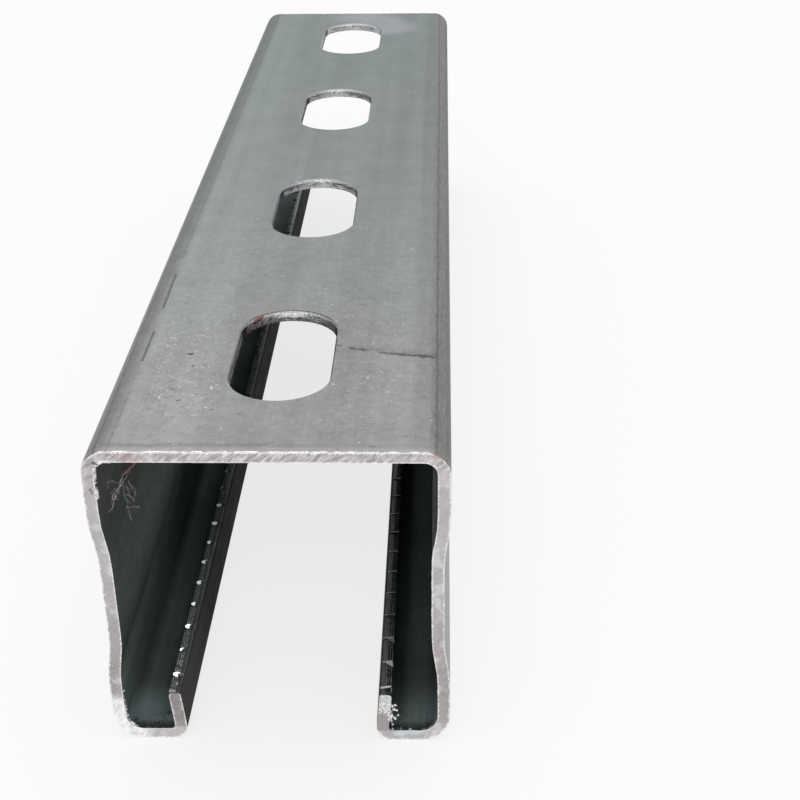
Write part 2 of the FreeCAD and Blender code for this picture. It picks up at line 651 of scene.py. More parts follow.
    def slot_cutters(self, recipe: GeometryRecipe) -> Socket:
        """The punch, drawn out from a round bar, at each slot. It flares where it meets the web."""
        given = recipe.given
        radius = recipe.times(given["Slot Width"], 0.5)
        depth = recipe.times(given["Thickness"], 3.0)
        feeds = {"Vertices": 96, "Side Segments": 49, "Fill Segments": 1, "Radius": radius, "Depth": depth}
        bar = recipe.place("GeometryNodeMeshCylinder", feeds).outputs["Mesh"]
        x, y, z = recipe.apart(recipe.position())
        sweep = recipe.ratio(given["Slot Rim"], math.sin(math.radians(self.rim_turn)))
        up = recipe.math("MAXIMUM", recipe.plus(z, given["Slot Rim"]), 0.0)
        up = recipe.math("MINIMUM", up, given["Slot Rim"])
        squares = recipe.minus(recipe.times(sweep, sweep), recipe.times(up, up))
        flare = recipe.minus(sweep, recipe.math("SQRT", squares))
        grown = recipe.plus(1.0, recipe.ratio(flare, radius))
        stretch = recipe.times(recipe.minus(given["Slot Length"], given["Slot Width"]), 0.5)
        shift = recipe.times(recipe.math("SIGN", y), stretch)
        place = recipe.together(
            recipe.times(x, grown), recipe.plus(recipe.times(y, grown), shift), z)
        first = recipe.minus(given["First Slot"], recipe.times(given["Length"], 0.5))
        start = recipe.together(0.0, first, given["Height"])
        punch = recipe.put(bar, place)
        return self.repeated(recipe, punch, given["Slot Count"], start, given["Slot Pitch"])

    def repeated(
        self, recipe: GeometryRecipe, shape: Feed, count: Feed, start: Feed, pitch: Feed
    ) -> Socket:
        """One shape repeated along Y.

        Args:
            recipe: The tree that the nodes go into.
            shape: The geometry that is repeated.
            count: How many times.
            start: The place of the first one.
            pitch: The distance from one to the next.

        Returns:
            All of them, realized.
        """
        feeds = {"Count": count, "Start Location": start, "Offset": recipe.together(0.0, pitch, 0.0)}
        line = recipe.place("GeometryNodeMeshLine", feeds, mode="OFFSET").outputs[0]
        copies = recipe.place("GeometryNodeInstanceOnPoints", {"Points": line, "Instance": shape})
        return recipe.realized(copies.outputs[0])

    def nick_cutters(self, recipe: GeometryRecipe, side: Side) -> Socket:
        """The wedges that nick one return, half a pitch further on for the left one."""
        given = recipe.given
        label = "Right Nick" if side is Side.RIGHT else "Left Nick"
        wedge = recipe.place("GeometryNodeObjectInfo", {0: given[label]}, transform_space="ORIGINAL")
        late = 0.0 if side is Side.RIGHT else self.nick_pitch / 2.0
        count = int((self.length - self.first_nick - late - self.nick_width / 2.0) // self.nick_pitch) + 1
        start = (0.0, self.first_nick + late - self.length / 2.0, 0.0)
        return self.repeated(recipe, wedge.outputs["Geometry"], count, start, given["Nick Pitch"])

    def build(self, materials: dict[Face, Material]) -> Object:
        """Make the channel, with a finish for each kind of face."""
        wedges = {side: self.nick_cutter(side) for side in Side}
        recipe = GeometryRecipe("rolled_channel", {
            "Length": self.length,
            "Height": self.section.height,
            "Thickness": self.section.thickness,
            "Rows": self.rows,
            "Layers": self.layers,
            "Crowding": self.crowding,
            "Dressed Run": self.dressed_run,
            "Dressed Depth": self.dressed_depth,
            "Hollow Depth": self.hollow_depth,
            "Slot Width": self.slot_width,
            "Slot Length": self.slot_length,
            "Slot Pitch": self.slot_pitch,
            "First Slot": self.first_slot,
            "Slot Count": self.slot_count,
            "Slot Rim": self.slot_rim,
            "Nick Pitch": self.nick_pitch,
            "Weld": self.weld,
            "Left Nick": wedges[Side.LEFT],
            "Right Nick": wedges[Side.RIGHT],
        })
        strip = self.rolled(recipe)
        cutters = recipe.place("GeometryNodeJoinGeometry")
        for cutter in [self.slot_cutters(recipe), *(self.nick_cutters(recipe, side) for side in Side)]:
            recipe.tree.links.new(cutter, cutters.inputs[0])
        cut = recipe.place("GeometryNodeMeshBoolean", operation="DIFFERENCE", solver="MANIFOLD")
        recipe.tree.links.new(strip, cut.inputs["Mesh 1"])
        recipe.tree.links.new(cutters.outputs[0], cut.inputs["Mesh 2"])
        feeds = {"Geometry": cut.outputs[0], "Distance": recipe.given["Weld"]}
        welded = recipe.place("GeometryNodeMergeByDistance", feeds).outputs[0]
        recipe.finish(self.dressed(recipe, welded, strip, materials))
        channel = recipe.run(host_of_rows("channel", [self.section.points()]))
        for wedge in wedges.values():
            bpy.data.objects.remove(wedge)
        return channel

    def dressed(
        self, recipe: GeometryRecipe, mesh: Socket, strip: Socket, materials: dict[Face, Material]
    ) -> Socket:
        """Give each kind of face its finish, and shade the bends smoothly.

        Args:
            recipe: The tree that the nodes go into.
            mesh: The channel with its slots and nicks.
            strip: The strip before it was cut, which knows its faces' depth.
            materials: The finishes, by the kind of face.

        Returns:
            The finished mesh.
        """
        section = self.section
        x, y, z = recipe.apart(recipe.position())
        facing_y, facing_z = recipe.apart(recipe.place("GeometryNodeInputNormal").outputs[0])[1:]
        from_axis = recipe.math("ABSOLUTE", x)
        steep = recipe.math("ABSOLUTE", facing_y)
        near_end = recipe.above(recipe.math("ABSOLUTE", y), self.length / 2.0 - self.sawn_within)
        sawn = recipe.times(near_end, recipe.above(steep, self.sawn_steepness))
        in_web = recipe.times(
            recipe.above(z, section.height - section.thickness - self.margin),
            recipe.above(self.web_level, recipe.math("ABSOLUTE", facing_z)))
        beside_slot = recipe.above(self.slot_width / 2.0 + self.slot_within[0], from_axis)
        from_first = recipe.minus(y, self.first_slot - self.length / 2.0)
        from_middle = recipe.math("PINGPONG", from_first, self.slot_pitch / 2.0)
        by_slot = recipe.above(self.slot_length / 2.0 + self.slot_within[1], from_middle)
        punched = recipe.times(in_web, beside_slot, by_slot)
        low = recipe.above(section.lip_height + self.margin, z)
        at_edge = recipe.above(z, section.lip_height - self.nick_reach * self.nick_depth)
        nicked = recipe.times(low, at_edge, recipe.above(steep, self.nick_steepness))
        feeds = {"Mesh": strip, "Value": recipe.attribute("depth")}
        depth = recipe.place("GeometryNodeSampleNearestSurface", feeds, data_type="FLOAT").outputs[0]
        inside = recipe.above(depth, 0.5)
        in_mouth = recipe.above(section.width / 2.0 - section.lip_width + self.lip_within, from_axis)
        on_edge = recipe.times(at_edge, recipe.above(facing_z, self.edge_rise))
        outer_or_edge = recipe.math("MAXIMUM", recipe.above(0.5, depth), on_edge)
        not_below = recipe.above(facing_z, self.lip_fall)
        lip = recipe.times(in_mouth, low, not_below, outer_or_edge)
        feeds = {"Geometry": mesh, "Material": materials[Face.OUTSIDE]}
        kept = recipe.place("GeometryNodeSetMaterial", feeds)
        where = {Face.INSIDE: inside, Face.LIP: lip}
        where |= {Face.NICKED: nicked, Face.PUNCHED: punched, Face.SAWN: sawn}
        for face, selection in where.items():
            feeds = {"Geometry": kept.outputs[0], "Selection": selection, "Material": materials[face]}
            kept = recipe.place("GeometryNodeSetMaterial", feeds)
        smooth = recipe.place("GeometryNodeSetShadeSmooth", {0: kept.outputs[0], "Shade Smooth": True})
        angle = recipe.place("GeometryNodeInputMeshEdgeAngle").outputs[0]
        crease = recipe.above(angle, math.radians(self.crease_angle))
        feeds = {0: smooth.outputs[0], "Selection": crease, "Shade Smooth": False}
        return recipe.place("GeometryNodeSetShadeSmooth", feeds, domain="EDGE").outputs[0]


class Effects:
    """The shared surface effects. Each one is a node group that is built once."""

    def __init__(self) -> None:
        """Build every group."""
        self.groups = {
            Effect.STREAKS: self.streaks(),
            Effect.SPECKS: self.specks(),
            Effect.STROKES: self.strokes(),
            Effect.SCRAPES: self.scrapes(),
            Effect.CLOUDS: self.clouds(),
            Effect.LINE: self.line(),
        }

    def started(self, effect: Effect, numbers: dict[str, float | Place]) -> Group:
        """A new group that takes a place in millimetres and more inputs, and gives a mask.

        Args:
            effect: Which effect it is.
            numbers: Its other inputs, with their usual values.

        Returns:
            The group, without its nodes.
        """
        inputs = {"Place": (0.0, 0.0, 0.0), **numbers}
        return Group(effect.value, "ShaderNodeTree", inputs, ("Mask", SOCKETS[float]))

    def turned(self, group: Group, axis: str) -> Socket:
        """The group's place, turned by its angle round an axis."""
        feeds = {"Vector": group.given["Place"], "Angle": group.given["Angle"]}
        return group.place("ShaderNodeVectorRotate", feeds, rotation_type=f"{axis}_AXIS").outputs[0]

    def streaks(self) -> NodeTree:
        """Lengthwise streaks, drawn out along Y as the strip is rolled."""
        group = self.started(Effect.STREAKS, {"Across": 1.0, "Along": 0.02})
        x, y, z = group.apart(group.given["Place"])
        across, along_y = group.given["Across"], group.times(y, group.given["Along"])
        drawn = group.together(group.times(x, across), along_y, group.times(z, across))
        group.finish(group.remap(group.noise(drawn, 1.0, 3.0), 0.3, 0.7))
        return group.tree

    def specks(self) -> NodeTree:
        """Small specks. A stretch above 1 draws them out into short scratches, at an angle in XY."""
        numbers = {"Scale": 1.0, "Share": 0.2, "Size": 0.15, "Stretch": 1.0, "Angle": 0.0}
        group = self.started(Effect.SPECKS, numbers)
        given = group.given
        x, y, z = group.apart(self.turned(group, "Z"))
        place = group.together(group.ratio(x, given["Stretch"]), y, z)
        cells = group.place("ShaderNodeTexVoronoi", {"Vector": place, "Scale": given["Scale"]}).outputs
        chance = group.apart(cells["Color"])[0]
        here = group.above(given["Share"], chance)
        size = group.times(given["Size"], group.plus(0.4, group.ratio(chance, given["Share"])))
        group.finish(group.times(here, group.remap(cells["Distance"], size, group.times(size, 0.4))))
        return group.tree

    def strokes(self) -> NodeTree:
        """Short strokes of a saw in the section's plane, at an angle in radians from X."""
        group = self.started(Effect.STROKES, {"Angle": 0.8, "Pitch": 0.3, "Length": 2.0})
        given = group.given
        x, y, z = group.apart(self.turned(group, "Y"))
        drawn = group.together(group.ratio(x, given["Length"]), y, group.ratio(z, given["Pitch"]))
        group.finish(group.remap(group.noise(drawn, 1.0, 4.0, 0.6), 0.3, 0.7))
        return group.tree

    def scrapes(self) -> NodeTree:
        """Thin, broken, slightly curved scratches, drawn out at an angle in XY."""
        numbers = {"Scale": 0.8, "Stretch": 4.0, "Angle": 0.0, "Fineness": 0.01}
        group = self.started(Effect.SCRAPES, numbers)
        given = group.given
        turned = self.turned(group, "Z")
        x, y, z = group.apart(turned)
        drawn = group.together(group.ratio(x, given["Stretch"]), y, z)
        off_level = group.math("ABSOLUTE", group.minus(group.noise(drawn, given["Scale"], 1.0), 0.5))
        scrape = group.remap(off_level, given["Fineness"], 0.0)
        broken = group.remap(group.noise(group.vector("ADD", turned, (7.0, 3.0, 0.0)), 0.9, 4.0), 0.5, 0.6)
        group.finish(group.times(scrape, broken))
        return group.tree

    def clouds(self) -> NodeTree:
        """Soft clouds, held between a low and a high level."""
        group = self.started(Effect.CLOUDS, {"Scale": 0.3, "Low": 0.4, "High": 0.6, "Detail": 3.0})
        given = group.given
        noise = group.noise(given["Place"], given["Scale"], given["Detail"])
        group.finish(group.remap(noise, given["Low"], given["High"]))
        return group.tree

    def line(self) -> NodeTree:
        """A ragged mark from one place to another."""
        origin = (0.0, 0.0, 0.0)
        ends = {"Start": origin, "End": origin}
        group = self.started(Effect.LINE, {**ends, "Width": 0.3, "Raggedness": 0.3, "Gaps": 0.0})
        given = group.given
        feeds = {"Vector": given["Place"], "Scale": 1.6, "Detail": 3.0}
        wander = group.place("ShaderNodeTexNoise", feeds).outputs
        stray = group.scaled(group.vector("SUBTRACT", wander[1], (0.5, 0.5, 0.5)), given["Raggedness"])
        place = group.vector("ADD", given["Place"], stray)
        run = group.vector("SUBTRACT", given["End"], given["Start"])
        to_place = group.vector("SUBTRACT", place, given["Start"])
        square, reach = (
            group.place("ShaderNodeVectorMath", {0: vector, 1: run}, operation="DOT_PRODUCT").outputs[1]
            for vector in (run, to_place))
        share = group.place("ShaderNodeClamp", {0: group.ratio(reach, square)}).outputs[0]
        off = group.vector("SUBTRACT", to_place, group.scaled(run, share))
        distance = group.place("ShaderNodeVectorMath", {0: off}, operation="LENGTH").outputs[1]
        half = group.times(given["Width"], 0.5)
        mark = group.remap(distance, half, group.times(half, 0.35))
        fading = group.remap(wander[0], group.minus(given["Gaps"], 0.12), given["Gaps"])
        group.finish(group.times(mark, fading))
        return group.tree


class Axis(Enum):
    """The channel's axes, as the number of each in a place."""

    X = 0
    Y = 1
    Z = 2


@dataclass(frozen=True)
class Fade:
    """A soft change along one axis, from start to end in millimetres."""

    axis: Axis
    start: float
    end: float
    low: float = 0.0
    high: float = 1.0


X, Y, Z = Axis
Fades = tuple[Fade, ...]


@dataclass(frozen=True)
class Mark:
    """A mark from start to end in millimetres. A strength below 1 darkens, and one above 1 brightens."""

    start: Place
    end: Place
    width: float
    strength: float
    raggedness: float = 0.3
    gaps: float = 0.35


@dataclass(frozen=True)
class StainOrGlint:
    """A rust mark, or a glint or glow of painted light, from start to end in millimetres, which mixes its
    share of a colour in.
    """

    start: Place
    end: Place
    width: float
    share: float
    colour: Colour
    raggedness: float = 0.3
    gaps: float = 0.3


@dataclass(frozen=True)
class Patch:
    """A soft patch on the web, with its middle, reach and softness in X and Y, in millimetres."""

    middle: Range
    reach: Range
    softness: Range
    share: float = 1.0


@dataclass(frozen=True)
class Wear:
    """One kind of fine wear, bright or dark, in the scuffed patches or all over the front."""

    effect: Effect
    numbers: dict[str, float]
    share: float
    bright: bool
    in_patches: bool = True


def scrapes(angle: float, stretch: float, scale: float) -> Wear:
    """Thin bright scrapes at an angle."""
    numbers = {"Scale": scale, "Stretch": stretch, "Angle": angle, "Fineness": 0.009}
    return Wear(Effect.SCRAPES, numbers, share=0.62, bright=True)


def scratches(
    angle: float, stretch: float, scale: float, size: float = 0.11, chance: float = 0.4,
    share: float = 0.62, bright: bool = True, in_patches: bool = True
) -> Wear:
    """Short scratches or specks, drawn out at an angle."""
    numbers = {"Scale": scale, "Share": chance, "Size": size, "Stretch": stretch, "Angle": angle}
    return Wear(Effect.SPECKS, numbers, share, bright, in_patches)


class Surface(Wiring):
    """A material's tree, with the place on the metal in millimetres."""

    def __init__(self, tree: NodeTree, effects: Effects) -> None:
        """Read the place from the object's coordinates."""
        super().__init__(tree)
        self.effects = effects
        self.at = self.scaled(self.place("ShaderNodeTexCoord").outputs["Object"], 1.0 / MM)
        self.x, self.y, self.z = self.apart(self.at)

    def effect(self, effect: Effect, **numbers: Feed) -> Socket:
        """One shared effect, placed here with its own numbers."""
        feeds = {"Place": self.at, **numbers}
        return self.place("ShaderNodeGroup", feeds, node_tree=self.effects.groups[effect]).outputs[0]

    def clouds(self, scale: float, low: float, high: float, detail: float = 3.0) -> Socket:
        """Soft clouds, held between a low and a high level."""
        return self.effect(Effect.CLOUDS, Scale=scale, Low=low, High=high, Detail=detail)

    def streaks(self, across: float, lengthwise: float) -> Socket:
        """Lengthwise streaks, by how many there are to a millimetre across and lengthwise."""
        return self.effect(Effect.STREAKS, Across=across, Along=lengthwise)

    def fade(self, *fades: Fade) -> Socket:
        """The product of soft changes along the axes."""
        places = (self.x, self.y, self.z)
        return self.times(*(
            self.remap(places[fade.axis.value], fade.start, fade.end, fade.low, fade.high)
            for fade in fades))

    def marked(self, colour: Feed, marks: tuple[Mark, ...]) -> Socket:
        """A colour with marks on it."""
        for mark in marks:
            colour = self.darkened(colour, self.line(mark), mark.strength)
        return colour

    def with_stains_and_glints(self, colour: Feed, stains_and_glints: tuple[StainOrGlint, ...]) -> Socket:
        """A colour with rust marks, and with glints of painted light, on it."""
        for spot in stains_and_glints:
            colour = self.mixed(self.times(self.line(spot), spot.share), colour, spot.colour)
        return colour

    def line(self, mark: Mark | StainOrGlint) -> Socket:
        """Where a mark, a rust mark or a painted glint lies."""
        ends = {"Start": mark.start, "End": mark.end}
        return self.effect(
            Effect.LINE, **ends, Width=mark.width, Raggedness=mark.raggedness, Gaps=mark.gaps)


@dataclass(frozen=True)
class Look:
    """What a finish feeds to its shader."""

    colour: Socket
    roughness: Socket
    height: Socket


@dataclass(frozen=True)
class Finish:
    """A finish of the metal, with the range of its roughness and its relief in millimetres."""

    face: Face
    colour: Colour
    roughness: Range
    relief: float = 0.05
    metallic: float = 1.0
    specular: float = 0.5
    bump: float = 0.6

    def look(self, s: Surface) -> Look:
        """The varying colour, roughness and height."""
        raise NotImplementedError

    def material(self, effects: Effects) -> Material:
        """The finished material."""
        made = bpy.data.materials.new(self.face.value)
        made.use_nodes = True
        shader = made.node_tree.nodes["Principled BSDF"]
        shader.inputs["Metallic"].default_value = self.metallic
        shader.inputs["Specular IOR Level"].default_value = self.specular
        surface = Surface(made.node_tree, effects)
        look = self.look(surface)
        feeds = {"Height": look.height, "Strength": self.bump, "Distance": self.relief * MM}
        normal = surface.place("ShaderNodeBump", feeds).outputs[0]
        wired = {"Base Color": look.colour, "Roughness": look.roughness, "Normal": normal}
        for label, socket in wired.items():
            made.node_tree.links.new(socket, shader.inputs[label])
        return made


@dataclass(frozen=True)
class ZincOutside(Finish):
    """Dull zinc on the outer skin: rolled streaks, bend lines, scratches and specks."""

    face: Face = Face.OUTSIDE
    colour: Colour = (0.33, 0.342, 0.335)
    roughness: Range = (0.42, 0.52)
    far_colour: Colour = (0.255, 0.295, 0.29)
    to_back: Fade = Fade(Y, -90.0, 70.0)
    band_tones: Range = (0.94, 1.05)
    thread_tones: Range = (0.975, 1.02)
    cloud_tones: Range = (1.03, 0.95)
    grain_swing: float = 0.045
    mottle_swing: float = 0.04
    swing: Fade = Fade(Y, -60.0, 20.0, 1.0, 0.25)
    levels: Fades = (Fade(X, -15.0, 1.0, 1.02, 0.915), Fade(Y, -90.0, -45.0, 1.0, 0.965))
    on_bend: Fade = Fade(Z, 37.2, 39.2)
    dark_bands: tuple[tuple[Fade, float], ...] = (
        (Fade(X, -16.5, -18.7), 0.65),
        (Fade(X, 15.8, 16.8), 0.9),
    )
    warm: Colour = (0.228, 0.224, 0.219)
    warm_tones: Range = (0.84, 1.22)
    warm_band: Fade = Fade(X, 17.9, 18.8)
    warm_share: float = 0.85
    last_band: Fade = Fade(X, 19.9, 20.3)
    last_share: float = 0.6
    by_saw: Colour = (0.3, 0.292, 0.283)
    saw_zone: Range = (-96.2, -96.5)
    saw_zone_sway: float = 0.5
    saw_share: float = 0.6
    line_at: float = -96.85
    line_reach: float = 0.05
    line_softness: float = 0.6
    line_sway: float = 0.22
    line_tones: Range = (0.4, 1.0)
    line_fade: Fade = Fade(X, 9.0, -2.0, 0.3, 1.0)
    line_share: float = 0.76
    at_front: Fade = Fade(Y, 30.0, -60.0)
    patches: tuple[Patch, ...] = (
        Patch((-10.8, -80.0), (3.0, 7.0), (4.0, 14.0)),
        Patch((10.5, -76.0), (3.0, 6.0), (4.0, 16.0), share=0.6),
    )
    patch_tones: Range = (0.5, 1.0)
    off_patches: float = 0.2
    bright: Colour = (0.78, 0.8, 0.8)
    wear: tuple[Wear, ...] = (
        scrapes(0.45, 4.0, 0.9),
        scrapes(-0.5, 5.0, 1.0),
        scrapes(1.2, 3.0, 0.8),
        scrapes(-1.2, 3.5, 1.2),
        scratches(0.2, 3.0, 1.3),
        scratches(-0.9, 3.5, 1.6),
        scratches(0.8, 2.5, 1.1),
        scratches(1.4, 4.0, 1.4),
        scratches(-0.5, 4.0, 1.3, 0.12, 0.3, 0.72, bright=False),
        scratches(0.3, 1.5, 0.75, 0.1, 0.3, 0.7, in_patches=False),
        scratches(0.2, 2.0, 0.6, 0.14, 0.3, 0.74, bright=False, in_patches=False),
        Wear(Effect.CLOUDS, {"Scale": 0.9, "Low": 0.5, "High": 0.68, "Detail": 5.0}, 0.88, bright=False),
    )
    marks: tuple[Mark, ...] = (
        Mark((-17.45, -98.0, 41.3), (-17.4, -84.5, 41.3), 0.35, 0.72, gaps=0.5),
        Mark((-17.4, -76.3, 41.3), (-17.35, -68.0, 41.3), 0.5, 0.5),
        Mark((-17.4, -61.0, 41.3), (-17.5, -50.0, 41.3), 0.55, 0.52),
        Mark((-17.5, -44.0, 41.3), (-17.6, 98.0, 41.3), 0.7, 0.84, gaps=0.45),
        Mark((-19.0, -98.0, 40.9), (-19.4, -50.0, 40.8), 0.35, 0.6, raggedness=0.1, gaps=0.2),
        Mark((-19.4, -50.0, 40.8), (-19.5, 98.0, 40.8), 0.4, 0.75, raggedness=0.1),
        Mark((19.0, -98.0, 41.0), (18.9, 98.0, 41.0), 0.5, 0.7, raggedness=0.4),
        Mark((8.3, -72.8, 41.3), (10.0, -73.2, 41.3), 1.1, 0.45, raggedness=1.1, gaps=0.44),
        Mark((12.0, -74.0, 41.3), (18.4, -75.0, 41.3), 0.85, 0.4, raggedness=0.8, gaps=0.46),
        Mark((14.0, -74.7, 41.3), (18.2, -75.3, 41.3), 0.6, 0.5, raggedness=1.2, gaps=0.5),
        Mark((8.3, -72.4, 41.3), (18.7, -74.6, 41.3), 1.7, 0.82, raggedness=2.0, gaps=0.5),
        Mark((6.2, -71.9, 41.3), (6.9, -72.1, 41.3), 0.5, 0.5),
        Mark((-11.85, -74.4, 41.3), (-11.5, -74.4, 41.3), 0.7, 0.2, gaps=0.1),
        Mark((-10.9, -77.6, 41.3), (-10.8, -77.8, 41.3), 0.4, 0.5, gaps=0.1),
        Mark((-11.4, -86.4, 41.3), (-11.1, -86.3, 41.3), 0.4, 0.4, gaps=0.1),
        Mark((-12.6, -83.4, 41.3), (-12.1, -84.0, 41.3), 0.3, 0.6, gaps=0.1),
        Mark((-15.9, -78.6, 41.3), (-12.9, -80.4, 41.3), 0.28, 1.25, raggedness=0.9, gaps=0.45),
        Mark((-13.2, -80.6, 41.3), (-10.4, -81.9, 41.3), 0.34, 1.3, raggedness=0.9, gaps=0.4),
        Mark((-15.2, -56.5, 41.3), (-13.4, -57.6, 41.3), 0.35, 1.3, raggedness=0.9, gaps=0.4),
    )
    stains_and_glints: tuple[StainOrGlint, ...] = (
        # The first is a painted glow, a broad pale blue reflection at the back of the web. The other two
        # are rust marks at the front edge.
        StainOrGlint((2.0, 94.0, 41.3), (7.5, 85.0, 41.3), 17.0, 0.3, (0.56, 0.56, 0.63), 0.0, 0.0),
        StainOrGlint((18.6, -98.0, 41.2), (19.8, -98.0, 41.0), 0.6, 0.7, (0.4, 0.1, 0.1)),
        StainOrGlint((7.9, -98.0, 41.3), (9.2, -98.0, 41.3), 0.5, 0.7, (0.4, 0.1, 0.1)),
    )

    def look(self, s: Surface) -> Look:
        """The varying colour, roughness and height."""
        bands = s.streaks(0.3, 0.006)
        threads = s.streaks(4.0, 0.06)
        clouds = s.clouds(0.2, 0.35, 0.7)
        grain = s.clouds(2.5, 0.3, 0.7, 5.0)
        mottle = s.clouds(0.7, 0.38, 0.62, 2.0)
        uneven = s.plus(
            s.blended(grain, -self.grain_swing, self.grain_swing),
            s.blended(mottle, -self.mottle_swing, self.mottle_swing))
        tone = s.times(
            s.blended(bands, *self.band_tones), s.blended(threads, *self.thread_tones),
            s.blended(clouds, *self.cloud_tones), s.plus(1.0, s.times(uneven, s.fade(self.swing))))
        colour = s.mixed(s.fade(self.to_back), self.colour, self.far_colour)
        colour = s.scaled(colour, s.times(tone, s.fade(*self.levels)))
        colour = self.bend_bands(s, colour)
        colour = self.behind_cut(s, colour, bands, clouds, grain)
        colour = self.worn(s, colour)
        colour = s.with_stains_and_glints(s.marked(colour, self.marks), self.stains_and_glints)
        height = s.times(s.plus(grain, threads), 0.5)
        return Look(colour, s.blended(grain, *self.roughness), height)

    def bend_bands(self, s: Surface, colour: Socket) -> Socket:
        """Darker bands where the web bends down, the right one warmer and speckled."""
        for band, share in self.dark_bands:
            colour = s.darkened(colour, s.fade(band, self.on_bend), share)
        speckle = s.streaks(3.0, 0.6)
        warm = s.scaled(self.warm, s.blended(speckle, *self.warm_tones))
        colour = s.mixed(s.times(s.fade(self.warm_band, self.on_bend), self.warm_share), colour, warm)
        return s.darkened(colour, s.fade(self.last_band, self.on_bend), self.last_share)

    def behind_cut(
        self, s: Surface, colour: Socket, bands: Socket, clouds: Socket, grain: Socket
    ) -> Socket:
        """A duller strip and a thin dark line behind the front end, where the saw went in.

        Args:
            s: The surface.
            colour: The colour so far.
            bands: The rolled bands, which sway the line.
            clouds: The clouds, which sway both.
            grain: The grain, which breaks the line.

        Returns:
            The colour with them.
        """
        near_cut = s.remap(s.plus(s.y, s.times(clouds, self.saw_zone_sway)), *self.saw_zone)
        colour = s.mixed(s.times(near_cut, self.saw_share), colour, self.by_saw)
        waved = s.minus(s.y, s.times(s.plus(bands, clouds), self.line_sway))
        line = s.near(waved, self.line_at, self.line_reach, self.line_softness)
        line = s.times(line, s.blended(grain, *self.line_tones), s.fade(self.line_fade))
        return s.darkened(colour, line, self.line_share)

    def worn(self, s: Surface, colour: Socket) -> Socket:
        """The scrapes, scratches and specks, densest in the patches beside the first slot."""
        masks = [
            s.times(*map(s.near, (s.x, s.y), patch.middle, patch.reach, patch.softness), patch.share)
            for patch in self.patches
        ]
        scuffed = s.clouds(0.22, 0.42, 0.58)
        patches = s.times(s.math("MAXIMUM", *masks), s.blended(scuffed, *self.patch_tones))
        at_front = s.fade(self.at_front)
        where = s.times(at_front, s.plus(patches, self.off_patches))
        for wear in self.wear:
            mask = s.times(s.effect(wear.effect, **wear.numbers), where if wear.in_patches else at_front)
            if wear.bright:
                colour = s.mixed(s.times(mask, wear.share), colour, self.bright)
            else:
                colour = s.darkened(colour, mask, wear.share)
        return colour


